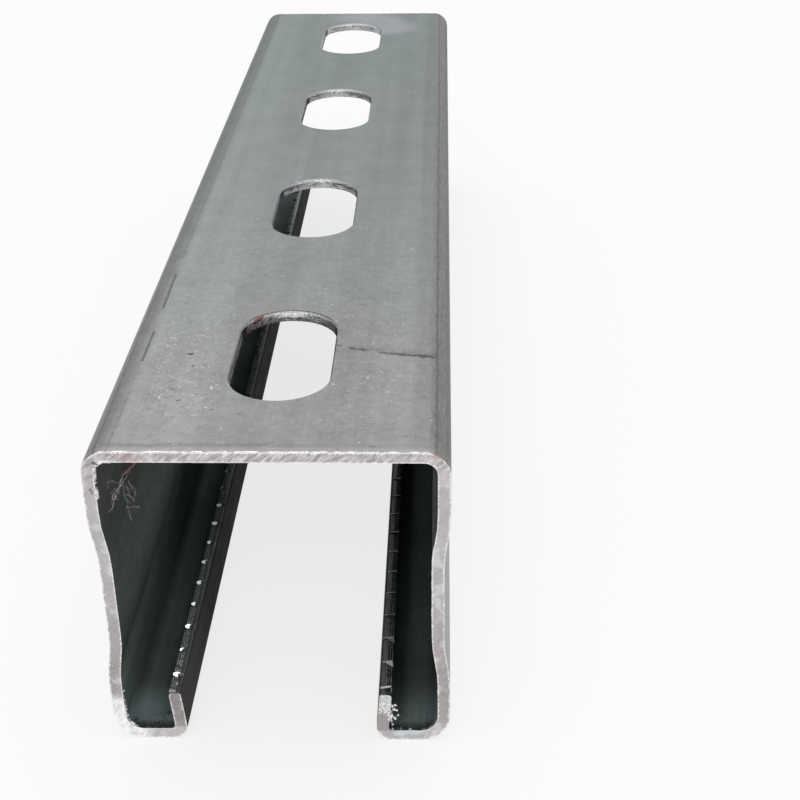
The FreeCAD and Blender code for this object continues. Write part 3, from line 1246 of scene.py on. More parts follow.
@dataclass(frozen=True)
class ZincInside(Finish):
    """The inner skin: painted dark as shade, with painted light and shade that change along it, soft
    lengthwise bands, a few chips, and a crumbly dark band and line at the front of its flanges.
    """

    face: Face = Face.INSIDE
    # Painted shade: the inner skin's colour is made dark for the shade inside the channel.
    colour: Colour = (0.1, 0.121, 0.12)
    roughness: Range = (0.62, 0.74)
    relief: float = 0.008
    band_tones: Range = (0.8, 1.15)
    thread_tones: Range = (0.95, 1.04)
    cloud_tones: Range = (1.08, 0.9)
    # Painted light and shade: much brighter low on the legs near the mouth, darker on the flanges and
    # further back.
    levels: Fades = (
        Fade(Z, 7.0, 12.5, 3.9, 1.0),
        Fade(Z, 14.0, 24.0, 0.72, 0.74),
        Fade(Z, 3.4, 2.4, 1.0, 0.55),
        Fade(Y, -72.0, -48.0, 1.0, 0.68),
    )
    # Painted shade on the right side, darkest above its flange, and painted light at the front of the
    # flanges by the open end.
    left_to_right: Range = (-5.0, 5.0)
    level_on_right: Fade = Fade(Z, 3.6, 2.6, 0.27, 0.8)
    front_of_flanges: Fades = (Fade(Z, 3.4, 2.4), Fade(Y, -88.0, -97.0))
    front_level: float = 2.1
    rusty: Colour = (0.13, 0.105, 0.095)
    rusty_corner: Fades = (
        Fade(X, -13.5, -16.5),
        Fade(Z, 29.0, 34.0),
        Fade(Y, -88.0, -95.0),
    )
    rust_shares: Range = (0.3, 0.7)
    chip_share: float = 0.45
    on_flange: Fade = Fade(Z, 2.6, 1.8)
    # Darker in a crumbly band and a thin line just behind the front end of the flanges.
    crumbly_front: Fade = Fade(Y, -93.0, -97.0)
    crumbly_share: float = 0.62
    dark_front_line: Range = (-96.2, -96.8)
    dark_line_sway: float = 0.9
    dark_line_share: float = 0.25
    grain_height: float = 0.4
    marks: tuple[Mark, ...] = (
        Mark((-14.5, -95.0, 1.5), (-12.0, -95.5, 1.5), 0.8, 0.5, raggedness=0.9),
        Mark((-18.2, -87.2, 1.8), (-18.0, -86.9, 1.6), 0.45, 0.5, gaps=0.1),
        Mark((-19.1, -93.1, 3.5), (-19.1, -92.9, 3.3), 0.45, 0.5, gaps=0.1),
        Mark((-18.9, -93.0, 8.0), (-18.9, -92.0, 8.6), 0.6, 0.4),
        Mark((-18.4, -92.0, 13.5), (-18.4, -90.8, 13.0), 0.5, 0.4),
        Mark((18.9, -90.0, 9.0), (18.9, -89.3, 9.2), 0.4, 0.4),
    )

    def look(self, s: Surface) -> Look:
        """The varying colour, roughness and height."""
        bands = s.streaks(0.22, 0.004)
        threads = s.streaks(2.5, 0.03)
        clouds = s.clouds(0.15, 0.35, 0.7)
        grain = s.clouds(1.5, 0.3, 0.7, 2.0)
        tone = s.times(
            s.blended(bands, *self.band_tones), s.blended(threads, *self.thread_tones),
            s.blended(clouds, *self.cloud_tones))
        # The painted light and shade by side, at the front and along the legs scale the dark colour.
        by_side = s.remap(s.x, *self.left_to_right, 1.0, s.fade(self.level_on_right))
        at_front = s.blended(s.fade(*self.front_of_flanges), 1.0, self.front_level)
        colour = s.scaled(self.colour, s.times(tone, s.fade(*self.levels), by_side, at_front))
        rust = s.times(s.fade(*self.rusty_corner), s.blended(clouds, *self.rust_shares))
        colour = s.mixed(rust, colour, self.rusty)
        chips = s.effect(Effect.SPECKS, Scale=0.22, Share=0.2, Size=0.07, Stretch=1.5, Angle=0.7)
        colour = s.darkened(colour, chips, self.chip_share)
        on_flange = s.fade(self.on_flange)
        crumbly = s.clouds(5.5, 0.42, 0.6, 4.0)
        colour = s.darkened(colour, s.times(on_flange, crumbly, s.fade(self.crumbly_front)), self.crumbly_share)
        dark_line = s.remap(s.plus(s.y, s.times(crumbly, self.dark_line_sway)), *self.dark_front_line)
        colour = s.darkened(colour, s.times(on_flange, dark_line), self.dark_line_share)
        height = s.blended(self.grain_height, threads, grain)
        return Look(s.marked(colour, self.marks), s.blended(grain, *self.roughness), height)


@dataclass(frozen=True)
class ZincOnLips(Finish):
    """The mouth side of the returns: the same zinc, dull, and painted dark as shade."""

    face: Face = Face.LIP
    # Painted shade: the mouth side is made near black for the shade under the channel.
    colour: Colour = (0.044, 0.047, 0.046)
    roughness: Range = (0.6, 0.75)
    relief: float = 0.02
    metallic: float = 0.0
    specular: float = 0.04
    cloud_tones: Range = (0.75, 1.3)
    thread_tones: Range = (0.85, 1.15)
    # Painted light and shade: brighter at the front end, darkest a little way in, and lighter again further
    # back.
    levels: Fades = (Fade(Y, -92.0, -72.0, 1.25, 0.4), Fade(Y, -45.0, -20.0, 1.0, 1.8))

    def look(self, s: Surface) -> Look:
        """The varying colour, roughness and height."""
        clouds = s.clouds(0.5, 0.3, 0.7)
        threads = s.streaks(2.0, 0.05)
        tone = s.times(s.blended(clouds, *self.cloud_tones), s.blended(threads, *self.thread_tones))
        colour = s.scaled(self.colour, s.times(tone, s.fade(*self.levels)))
        return Look(colour, s.blended(clouds, *self.roughness), threads)


@dataclass(frozen=True)
class NickedSteel(Finish):
    """The walls of the nicks and their flakes: bright steel, with painted shade that darkens them on the
    right and further back, so that they stay bright only at the left front.
    """

    face: Face = Face.NICKED
    colour: Colour = (0.96, 0.96, 0.97)
    roughness: Range = (0.3, 0.4)
    relief: float = 0.0
    grain_tones: Range = (0.85, 1.0)
    # Painted shade: darker on the right and further back.
    levels: Fades = (
        Fade(X, -5.0, 5.0, 1.0, 0.4),
        Fade(Y, -91.0, -76.0, 1.0, 0.34),
        Fade(Y, -76.0, -50.0, 1.0, 0.6),
    )

    def look(self, s: Surface) -> Look:
        """The varying colour, roughness and height."""
        grain = s.clouds(4.0, 0.3, 0.6)
        colour = s.scaled(self.colour, s.times(s.blended(grain, *self.grain_tones), s.fade(*self.levels)))
        return Look(colour, s.blended(grain, *self.roughness), grain)


@dataclass(frozen=True)
class PunchedSteel(Finish):
    """The walls of the slots: a drawn rim, a shiny sheared band, and a torn band below it, dark at the
    front slot and painted paler with light towards the back.
    """

    face: Face = Face.PUNCHED
    colour: Colour = (0.92, 0.92, 0.93)
    roughness: Range = (0.3, 0.6)
    relief: float = 0.08
    sheared_to: Range = (40.3, 39.95)
    jag: float = 0.5
    border_softness: float = 0.04
    shine_tones: Range = (0.65, 1.15)
    grain_tones: Range = (0.85, 1.1)
    torn: Colour = (0.16, 0.155, 0.15)
    # Painted light: the torn band is made pale towards the back slots, with gentler grain tones there.
    torn_at_back: Colour = (0.85, 0.85, 0.9)
    to_back: Fade = Fade(Y, -55.0, -15.0)
    torn_low: Fade = Fade(Y, -55.0, -15.0, 0.5, 0.9)
    torn_high: Fade = Fade(Y, -55.0, -15.0, 3.0, 1.1)
    rim: Colour = (0.46, 0.47, 0.46)
    rounded: Fade = Fade(Z, 40.98, 41.04)
    first_slot: float = -74.0
    slot_pitch: float = 50.0
    slot_ends: Range = (7.0, 10.5)
    outline_beside: float = 40.97
    outline_at_ends: float = 41.25
    outline_width: float = 0.05
    outline_share: Fade = Fade(Y, -55.0, -15.0, 0.3, 0.8)
    straight_wall: Fade = Fade(Z, 40.98, 40.92)
    straight_ends: Range = (0.5, 0.0)
    straight_share: float = 0.16
    stains_and_glints: tuple[StainOrGlint, ...] = (
        StainOrGlint((-5.1, -64.3, 40.7), (-4.1, -63.2, 41.1), 0.9, 0.8, (0.3, 0.09, 0.09), gaps=0.2),
    )

    def look(self, s: Surface) -> Look:
        """The varying colour, roughness and height."""
        jagged = s.clouds(1.3, 0.3, 0.7, 4.0)
        sheared_share = s.clouds(0.09, 0.4, 0.6)
        grain = s.clouds(4.0, 0.35, 0.65, 5.0)
        shine = s.clouds(0.35, 0.35, 0.6)
        border = s.plus(s.blended(sheared_share, *self.sheared_to), s.times(jagged, self.jag))
        below = s.remap(s.minus(s.z, border), self.border_softness, -self.border_softness)
        grainy = s.blended(grain, *self.grain_tones)
        sheared = s.scaled(self.colour, s.times(s.blended(shine, *self.shine_tones), grainy))
        torn = s.mixed(s.fade(self.to_back), self.torn, self.torn_at_back)
        torn = s.scaled(torn, s.blended(grain, s.fade(self.torn_low), s.fade(self.torn_high)))
        colour = s.mixed(below, sheared, torn)
        colour = s.mixed(s.fade(self.rounded), colour, s.scaled(self.rim, grainy))
        from_middle = s.math("PINGPONG", s.plus(s.y, -self.first_slot), self.slot_pitch / 2.0)
        at_ends = s.remap(from_middle, *self.slot_ends)
        beside, ends = (
            s.near(s.z, height, self.outline_width, self.outline_width)
            for height in (self.outline_beside, self.outline_at_ends))
        colour = s.darkened(colour, s.blended(at_ends, beside, ends), s.fade(self.outline_share))
        straight = s.times(s.fade(self.straight_wall), s.remap(at_ends, *self.straight_ends))
        colour = s.with_stains_and_glints(s.darkened(colour, straight, self.straight_share), self.stains_and_glints)
        return Look(colour, s.blended(below, *self.roughness), s.plus(grain, s.times(below, -1.0)))


@dataclass(frozen=True)
class SawnSteel(Finish):
    """The sawn ends: bare steel with slanting strokes, bright at its edges with torn steel and painted
    highlights, rough at the left foot.
    """

    face: Face = Face.SAWN
    colour: Colour = (0.585, 0.54, 0.547)
    roughness: Range = (0.42, 0.55)
    zones: tuple[tuple[Fade, Colour], ...] = (
        (Fade(Z, 38.0, 33.0), (0.55, 0.53, 0.534)),
        (Fade(Z, 22.0, 12.0), (0.47, 0.438, 0.435)),
        (Fade(Z, 2.4, 1.4), (0.6, 0.575, 0.575)),
    )
    on_returns: Colour = (0.37, 0.345, 0.34)
    returns_within: Range = (14.2, 13.8)
    returns_above: Fade = Fade(Z, 1.5, 2.2)
    returns_below: float = 20.0
    stroke_angle: float = 48.0
    hard_cut: Fade = Fade(Z, 36.0, 40.0)
    hard_shares: Range = (0.15, 1.0)
    stroke_tones: Range = (0.92, 1.06)
    hard_stroke_tones: Range = (0.74, 1.24)
    fine_tones: Range = (0.88, 1.1)
    cloud_tones: Range = (1.05, 0.93)
    coarse_tones: Range = (0.72, 1.25)
    bright: Colour = (0.97, 0.95, 0.95)
    patch_share: float = 0.35
    rough: Colour = (1.0, 0.99, 0.99)
    rough_foot: Fades = (Fade(X, -15.5, -17.5), Fade(Z, 7.0, 5.5))
    rough_tones: Range = (0.7, 1.3)
    rough_share: float = 0.85
    # The bright edges are partly torn steel and partly painted highlight. The bright line along the top is
    # a painted highlight.
    edge_sway: float = 0.14
    edge: Range = (0.38, 0.47)
    edge_share: float = 0.8
    on_web: Fade = Fade(Z, 40.0, 40.6)
    top_sway: float = 0.3
    top_edge: Range = (40.92, 41.02)
    top_share: float = 0.9
    right_return: Fades = (Fade(X, 11.2, 11.4), Fade(X, 14.2, 14.0), Fade(Z, 7.3, 7.2))
    smear_ragged: float = 1.2
    smear_middle: float = 12.5
    smear_slant: float = 0.9
    smear_above: Range = (4.7, 5.0)
    smear: Colour = (0.88, 0.87, 0.86)
    smear_tones: Range = (0.6, 1.1)
    smear_share: float = 0.8
    plain_below: Range = (4.8, 4.5)
    plain_above: Fade = Fade(Z, 1.2, 1.6)
    plain: Colour = (0.42, 0.39, 0.385)
    marks: tuple[Mark, ...] = (
        Mark((-19.75, -98.0, 36.2), (-19.65, -98.0, 35.7), 0.5, 0.5, gaps=0.1),
        Mark((-18.9, -98.0, 39.6), (-18.5, -98.0, 39.3), 0.9, 0.35, raggedness=0.8, gaps=0.3),
        Mark((-19.9, -98.0, 15.0), (-19.95, -98.0, 14.7), 0.25, 1.4, gaps=0.1),
    )
    stains_and_glints: tuple[StainOrGlint, ...] = (
        # The first is a painted glint, a pale blue reflection on the sawn face of the right flange. The
        # other two are rust marks.
        StainOrGlint((14.0, -98.0, 0.95), (17.0, -98.0, 1.2), 0.9, 0.6, (0.72, 0.83, 0.9)),
        StainOrGlint((-14.9, -98.0, 40.1), (-14.4, -98.0, 40.2), 1.6, 0.4, (0.62, 0.4, 0.38), 1.6, 0.42),
        StainOrGlint((18.9, -98.0, 41.0), (20.0, -98.0, 40.4), 0.9, 0.6, (0.6, 0.25, 0.25), gaps=0.35),
    )

    def look(self, s: Surface) -> Look:
        """The varying colour, roughness and height."""
        angle = math.radians(self.stroke_angle)
        strokes = s.effect(Effect.STROKES, Angle=angle, Pitch=0.2, Length=1.6)
        fine = s.effect(Effect.STROKES, Angle=angle - 0.15, Pitch=0.09, Length=1.0)
        coarse = s.effect(Effect.STROKES, Angle=angle - 0.2, Pitch=0.45, Length=1.8)
        clouds = s.clouds(0.35, 0.35, 0.65)
        grain = s.clouds(3.0, 0.3, 0.7, 5.0)
        hard = s.blended(s.fade(self.hard_cut), *self.hard_shares)
        low, high = (s.blended(hard, *tones) for tones in zip(self.stroke_tones, self.hard_stroke_tones))
        tone = s.times(
            s.blended(strokes, low, high), s.blended(fine, *self.fine_tones),
            s.blended(clouds, *self.cloud_tones),
            s.blended(hard, 1.0, s.blended(coarse, *self.coarse_tones)))
        colour = s.scaled(self.base(s), tone)
        patches = s.clouds(0.5, 0.52, 0.66, 4.0)
        colour = s.mixed(s.times(patches, self.patch_share), colour, self.bright)
        marks = s.effect(Effect.STROKES, Angle=1.1, Pitch=0.3, Length=1.8)
        rough = s.scaled(self.rough, s.blended(marks, *self.rough_tones))
        colour = s.mixed(s.times(s.fade(*self.rough_foot), self.rough_share), colour, rough)
        colour = self.bright_edges(s, colour, grain, strokes)
        colour = self.right_lip(s, colour, grain)
        colour = s.with_stains_and_glints(s.marked(colour, self.marks), self.stains_and_glints)
        return Look(colour, s.blended(strokes, *self.roughness), s.plus(strokes, s.times(fine, 0.5)))

    def base(self, s: Surface) -> Socket:
        """The plain colour, which changes from the web down to the flanges and on the returns."""
        base = self.colour
        for zone, colour in self.zones:
            base = s.mixed(s.fade(zone), base, colour)
        inwards = s.remap(s.math("ABSOLUTE", s.x), *self.returns_within)
        on_return = s.times(inwards, s.fade(self.returns_above), s.above(self.returns_below, s.z))
        return s.mixed(on_return, base, self.on_returns)

    def bright_edges(self, s: Surface, colour: Socket, grain: Socket, strokes: Socket) -> Socket:
        """Bright torn edges all round, partly painted highlight, and a wavy bright line along the top, a
        painted highlight on the top burr.

        Args:
            s: The surface.
            colour: The colour so far.
            grain: The grain, which sways the edges.
            strokes: The saw's strokes, which wave the line.

        Returns:
            The colour with them.
        """
        depth = s.place("ShaderNodeAttribute", attribute_name="depth").outputs["Fac"]
        stray = s.times(s.minus(grain, 0.5), self.edge_sway)
        edge = s.remap(s.plus(s.math("ABSOLUTE", s.minus(depth, 0.5)), stray), *self.edge)
        colour = s.mixed(s.times(edge, self.edge_share), colour, self.bright)
        waved = s.plus(s.z, s.times(s.minus(strokes, 0.5), self.top_sway))
        top = s.times(s.fade(self.on_web), s.remap(waved, *self.top_edge))
        return s.mixed(s.times(top, self.top_share), colour, self.bright)

    def right_lip(self, s: Surface, colour: Socket, grain: Socket) -> Socket:
        """The right return, smeared bright on top and plain below."""
        here = s.fade(*self.right_return)
        ragged = s.plus(s.z, s.times(grain, self.smear_ragged))
        slanted = s.plus(ragged, s.times(s.minus(s.x, self.smear_middle), self.smear_slant))
        plain = s.times(here, s.remap(slanted, *self.plain_below), s.fade(self.plain_above))
        colour = s.mixed(plain, colour, self.plain)
        smear = s.times(here, s.remap(slanted, *self.smear_above), self.smear_share)
        return s.mixed(smear, colour, s.scaled(self.smear, s.blended(grain, *self.smear_tones)))


@dataclass(frozen=True)
class TornSteel(Finish):
    """The bright torn steel of the burrs."""

    face: Face = Face.TORN
    colour: Colour = (0.93, 0.91, 0.91)
    roughness: Range = (0.35, 0.5)
    relief: float = 0.02
    grain_tones: Range = (0.55, 1.0)

    def look(self, s: Surface) -> Look:
        """The varying colour, roughness and height."""
        grain = s.clouds(2.2, 0.3, 0.6, 4.0)
        colour = s.scaled(self.colour, s.blended(grain, *self.grain_tones))
        return Look(colour, s.blended(grain, *self.roughness), grain)


@dataclass(frozen=True)
class RustyThread(Finish):
    """Fine threads, rust red at the top and pale below."""

    face: Face = Face.RUST
    colour: Colour = (0.3, 0.12, 0.1)
    roughness: Range = (0.6, 0.7)
    metallic: float = 0.0
    pale: Colour = (0.3, 0.27, 0.26)
    pale_tones: Range = (0.6, 1.3)
    red_above: Range = (37.0, 38.6)

    def look(self, s: Surface) -> Look:
        """The varying colour, roughness and height."""
        grain = s.clouds(1.5, 0.35, 0.65)
        pale = s.scaled(self.pale, s.blended(grain, *self.pale_tones))
        colour = s.mixed(s.remap(s.plus(s.z, grain), *self.red_above), pale, self.colour)
        return Look(colour, s.blended(grain, *self.roughness), grain)


@dataclass(frozen=True)
class Thread:
    """An uneven thread of metal that follows rows of points. Their half is how thick it is there."""

    name: str
    thinnest: float = 0.25
    sway: float = 0.05 * MM
    ripple: float = 3.0 / MM
    sides: int = 5
    seed: float = 1.0

    def build(self, rows: list[list[StripPoint]], material: Material) -> Object:
        """Draw the thread along the rows, in one finish."""
        recipe = GeometryRecipe(self.name, {
            "Thinnest": self.thinnest,
            "Sway": self.sway,
            "Ripple": self.ripple,
            "Sides": self.sides,
            "Seed": self.seed,
            "Material": material,
        })
        given = recipe.given
        curve = recipe.place("GeometryNodeMeshToCurve", {0: given["Geometry"]}).outputs[0]
        feeds = {"Vector": recipe.position(), "W": given["Seed"], "Scale": given["Ripple"], "Detail": 2.0}
        noise = recipe.place("ShaderNodeTexNoise", feeds, noise_dimensions="4D").outputs
        share = recipe.remap(noise[0], 0.35, 0.65, given["Thinnest"], 1.0)
        radius = recipe.times(share, recipe.attribute("half"))
        sway = recipe.scaled(recipe.vector("SUBTRACT", noise[1], (0.5, 0.5, 0.5)), given["Sway"])
        moved = recipe.shifted(curve, recipe.vector("MULTIPLY", sway, (1.0, 0.0, 1.0)))
        sized = recipe.place("GeometryNodeSetCurveRadius", {"Curve": moved, "Radius": radius}).outputs[0]
        feeds = {"Resolution": given["Sides"], "Radius": 1.0}
        ring = recipe.place("GeometryNodeCurvePrimitiveCircle", feeds).outputs[0]
        feeds = {"Curve": sized, "Profile Curve": ring, "Scale": radius, "Fill Caps": True}
        sweep = recipe.place("GeometryNodeCurveToMesh", feeds)
        recipe.finish_in_material(recipe.realized(sweep.outputs[0]))
        return recipe.run(host_of_rows(self.name, rows))


@dataclass(frozen=True)
class Box:
    """A box in the section, with its ranges of X and Z in millimetres."""

    x: Range
    z: Range

    def holds(self, place: Vector) -> bool:
        """Whether a place lies inside."""
        return self.x[0] * MM < place.x < self.x[1] * MM and self.z[0] * MM < place.z < self.z[1] * MM


@dataclass(frozen=True)
class SawBurrs:
    """The torn edges that the saw left round both ends."""

    section: Section
    length: float = LENGTH
    outer_radius: float = 0.11 * MM
    inner_radius: float = 0.09 * MM
    sway: float = 0.08 * MM
    step: float = 0.16 * MM
    sunk: float = 0.06 * MM
    web_depth: float = 1.2 * MM
    off_web: float = 0.35
    inner_usual: float = 0.6
    inner_thicker: tuple[tuple[Box, float], ...] = (
        (Box((-21.0, -16.5), (34.9, 42.0)), 4.2),
        (Box((-21.0, -16.4), (1.0, 6.0)), 3.2),
        (Box((19.0, 21.0), (4.0, 34.0)), 1.8),
    )

    def outline(self, end: Side, inner: bool) -> list[StripPoint]:
        """The points that a burr follows along one edge of a sawn end.

        Args:
            end: The end, LEFT for the front and RIGHT for the back.
            inner: Whether it is the edge of the inner skin.

        Returns:
            The points.
        """
        fine = replace(self.section, longest_step=self.step, widest_turn=5.0)
        points = []
        for point in fine.points()[4:-4]:
            radius = self.thickness_at(point.place, inner)
            reach = point.half - (self.sunk if inner else self.outer_radius + self.sway / 2.0)
            edge = point.place + point.inward * (reach if inner else -reach)
            y = end.value * (self.length / 2.0 - max(radius, self.outer_radius))
            points.append(StripPoint(Vector((edge.x, y, edge.z)), point.inward, radius))
        return points

    def thickness_at(self, place: Vector, inner: bool) -> float:
        """How thick the burr is at a place in the section."""
        if not inner:
            on_web = place.z > self.section.height - self.web_depth
            return self.outer_radius * (1.0 if on_web else self.off_web)
        thicker = [share for box, share in self.inner_thicker if box.holds(place)]
        return self.inner_radius * (thicker or [self.inner_usual])[0]

    def build(self, material: Material) -> Object:
        """Make the burrs of both ends."""
        rows = [self.outline(end, inner) for end in Side for inner in (False, True)]
        return Thread("saw_burrs", thinnest=0.1, sway=self.sway, ripple=1.1 / MM).build(rows, material)


class Scrap(Enum):
    """The shapes that torn metal takes."""

    SPLINTER = "splinter"
    CRUMB = "crumb"
    FLAKE = "flake"


@dataclass(frozen=True)
class Scraps:
    """Scraps strewn on rows of points. Their half is the size there, and inward is their way."""

    name: str
    shape: Scrap
    stray: float = 0.6
    smallest: float = 0.35
    seed: int = 1
    front: float = FRONT

    def model(self, recipe: GeometryRecipe) -> Socket:
        """One splinter, flake or crumb, a unit long.

        Args:
            recipe: The tree that the nodes go into.

        Returns:
            Its mesh.
        """
        if self.shape is Scrap.SPLINTER:
            feeds = {"Vertices": 5, "Radius Top": 0.02, "Radius Bottom": 0.2, "Depth": 1.0}
            return recipe.place("GeometryNodeMeshCone", feeds).outputs["Mesh"]
        if self.shape is Scrap.FLAKE:
            disc = recipe.place("GeometryNodeMeshCylinder", {"Vertices": 7, "Radius": 0.5, "Depth": 0.16})
            flat = recipe.vector("MULTIPLY", recipe.position(), (1.3, 0.62, 1.0))
            return recipe.put(disc.outputs["Mesh"], flat)
        feeds = {"Radius": 0.4, "Subdivisions": 3}
        ball = recipe.place("GeometryNodeMeshIcoSphere", feeds).outputs["Mesh"]
        noise = recipe.noise(recipe.position(), 2.5, 2.0)
        bulge = recipe.scaled(recipe.position(), recipe.remap(noise, 0.3, 0.7, -0.4, 0.5))
        return recipe.shifted(ball, bulge)

    def build(self, rows: list[list[StripPoint]], material: Material) -> Object:
        """Strew the scraps on the rows, in one finish."""
        recipe = GeometryRecipe(self.name, {
            "Stray": self.stray,
            "Smallest": self.smallest,
            "Front": self.front,
            "Seed": self.seed,
            "Material": material,
        })
        given = recipe.given
        feeds = {"Min": (-1.0, -1.0, -1.0), "Max": (1.0, 1.0, 1.0), "Seed": given["Seed"]}
        chance = recipe.place("FunctionNodeRandomValue", feeds, data_type="FLOAT_VECTOR").outputs[0]
        inward = recipe.attribute("inward", "FLOAT_VECTOR")
        way = recipe.vector("ADD", inward, recipe.scaled(chance, given["Stray"]))
        turn = recipe.place("FunctionNodeAlignRotationToVector", {"Vector": way}, axis="Z").outputs[0]
        share = recipe.remap(recipe.apart(chance)[2], -1.0, 1.0, given["Smallest"], 1.0)
        size = recipe.times(share, recipe.attribute("half"))
        feeds = {"Points": given["Geometry"], "Instance": self.model(recipe), "Rotation": turn}
        strewn = recipe.place("GeometryNodeInstanceOnPoints", feeds | {"Scale": size}).outputs[0]
        x, y, z = recipe.apart(recipe.position())
        behind = recipe.together(x, recipe.math("MAXIMUM", y, given["Front"]), z)
        recipe.finish_in_material(recipe.put(recipe.realized(strewn), behind))
        return recipe.run(host_of_rows(self.name, rows))


@dataclass(frozen=True)
class LipBurrs:
    """Bright burrs on the edges of the returns: fine ones along them, and one across at each nick."""

    section: Section
    length: float = LENGTH
    nick_pitch: float = NICK_PITCH
    first_nick: float = FIRST_NICK
    nick_reach: float = 0.62 * MM
    radius: float = 0.2 * MM
    bright_reach: float = 28.0 * MM
    faintest: float = 0.1
    right_share: float = 0.3
    rise_share: float = 0.3
    start: float = 0.3 * MM
    clear_ends: float = 0.4 * MM
    step: float = 0.2 * MM
    depths: tuple[float, ...] = (0.75 * MM, 1.05 * MM, 1.35 * MM)
    across_radius: float = 0.07 * MM
    across_start: float = 0.12 * MM
    across_step: float = 0.16 * MM
    across_count: int = 9
    across_behind: float = 0.13 * MM
    across_slant: float = 0.31
    flake: float = 0.95 * MM
    flake_place: Place = (1.0 * MM, 0.24 * MM, -0.2 * MM)
    flake_way: Place = (0.06, -0.79, 0.61)

    def place(self, side: Side, depth: float, far: float, rise: float) -> Vector:
        """A place on a return's edge.

        Args:
            side: The side of the channel.
            depth: How deep it lies, from the mouth side of the strip.
            far: The distance from the front end.
            rise: How far it lies above the edge.

        Returns:
            The place.
        """
        up = along(self.section.lip_lean + 90.0)
        corner = self.section.strip_corner() + along(self.section.lip_lean - 180.0) * depth + up * rise
        return Vector((corner.x * -side.value, far - self.length / 2.0, corner.z))

    def lengthwise(self, side: Side, depth: float) -> list[StripPoint]:
        """The points of a burr that runs along a return and stops at each nick.

        Args:
            side: The side of the channel.
            depth: How deep it lies, from the mouth side of the strip.

        Returns:
            The points, from front to back.
        """
        late = self.nick_pitch / 2.0 if side is Side.LEFT else 0.0
        points = []
        for number in range(int((self.length - self.clear_ends) // self.step)):
            far = self.start + number * self.step
            past_nick = (far - self.first_nick - late + self.nick_pitch / 2.0) % self.nick_pitch
            whole = abs(past_nick - self.nick_pitch / 2.0) > self.nick_reach
            fading = max(self.faintest, 1.0 - far / self.bright_reach)
            level = fading * (1.0 if side is Side.LEFT else self.right_share)
            thick = self.radius * level if whole else 0.0
            place = self.place(side, depth, far, self.rise_share * thick)
            points.append(StripPoint(place, along(90.0), thick))
        return points

    def nicks(self, side: Side) -> list[float]:
        """How far the middle of each nick of a return is from the front end."""
        first = self.first_nick + (self.nick_pitch / 2.0 if side is Side.LEFT else 0.0)
        count = int((self.length - first - self.nick_reach) // self.nick_pitch) + 1
        return [first + self.nick_pitch * number for number in range(count)]

    def crosswise(self) -> list[list[StripPoint]]:
        """Thin burrs that stand across the right return, on the far bank of each nick."""
        rows = []
        for far in self.nicks(Side.RIGHT):
            row = []
            for step in range(self.across_count):
                depth = self.across_start + self.across_step * step
                behind = self.across_behind + self.across_slant * depth
                place = self.place(Side.RIGHT, depth, far + behind, 0.0)
                row.append(StripPoint(place, along(90.0), self.across_radius))
            rows.append(row)
        return rows

    def flakes(self) -> list[StripPoint]:
        """Flakes that lie on the far bank of each nick of the left return, and face forward and up."""
        depth, behind, rise = self.flake_place
        return [
            StripPoint(self.place(Side.LEFT, depth, far + behind, rise), Vector(self.flake_way), self.flake)
            for far in self.nicks(Side.LEFT)
        ]

    def build(self, torn: Material, nicked: Material) -> list[Object]:
        """Make the burrs of both returns in torn steel, and the flakes in the nicks' own finish."""
        lengthwise = [self.lengthwise(side, depth) for side in Side for depth in self.depths]
        along_edges = Thread("lip_burrs", thinnest=0.2, sway=0.4 * MM, ripple=1.1 / MM, seed=3.0)
        at_nicks = Thread("nick_burrs", thinnest=0.6, sway=0.1 * MM, ripple=1.3 / MM, seed=5.0)
        flakes = Scraps("nick_flakes", Scrap.FLAKE, stray=0.04, smallest=0.85, seed=12)
        return [
            along_edges.build(lengthwise, torn),
            at_nicks.build(self.crosswise(), torn),
            flakes.build([self.flakes()], nicked),
        ]


@dataclass(frozen=True)
class TornEdge:
    """A torn stretch of an edge of the sawn front, with its scraps' spacing and size in millimetres."""

    box: Box
    step: float
    size: float
    inner: bool = True


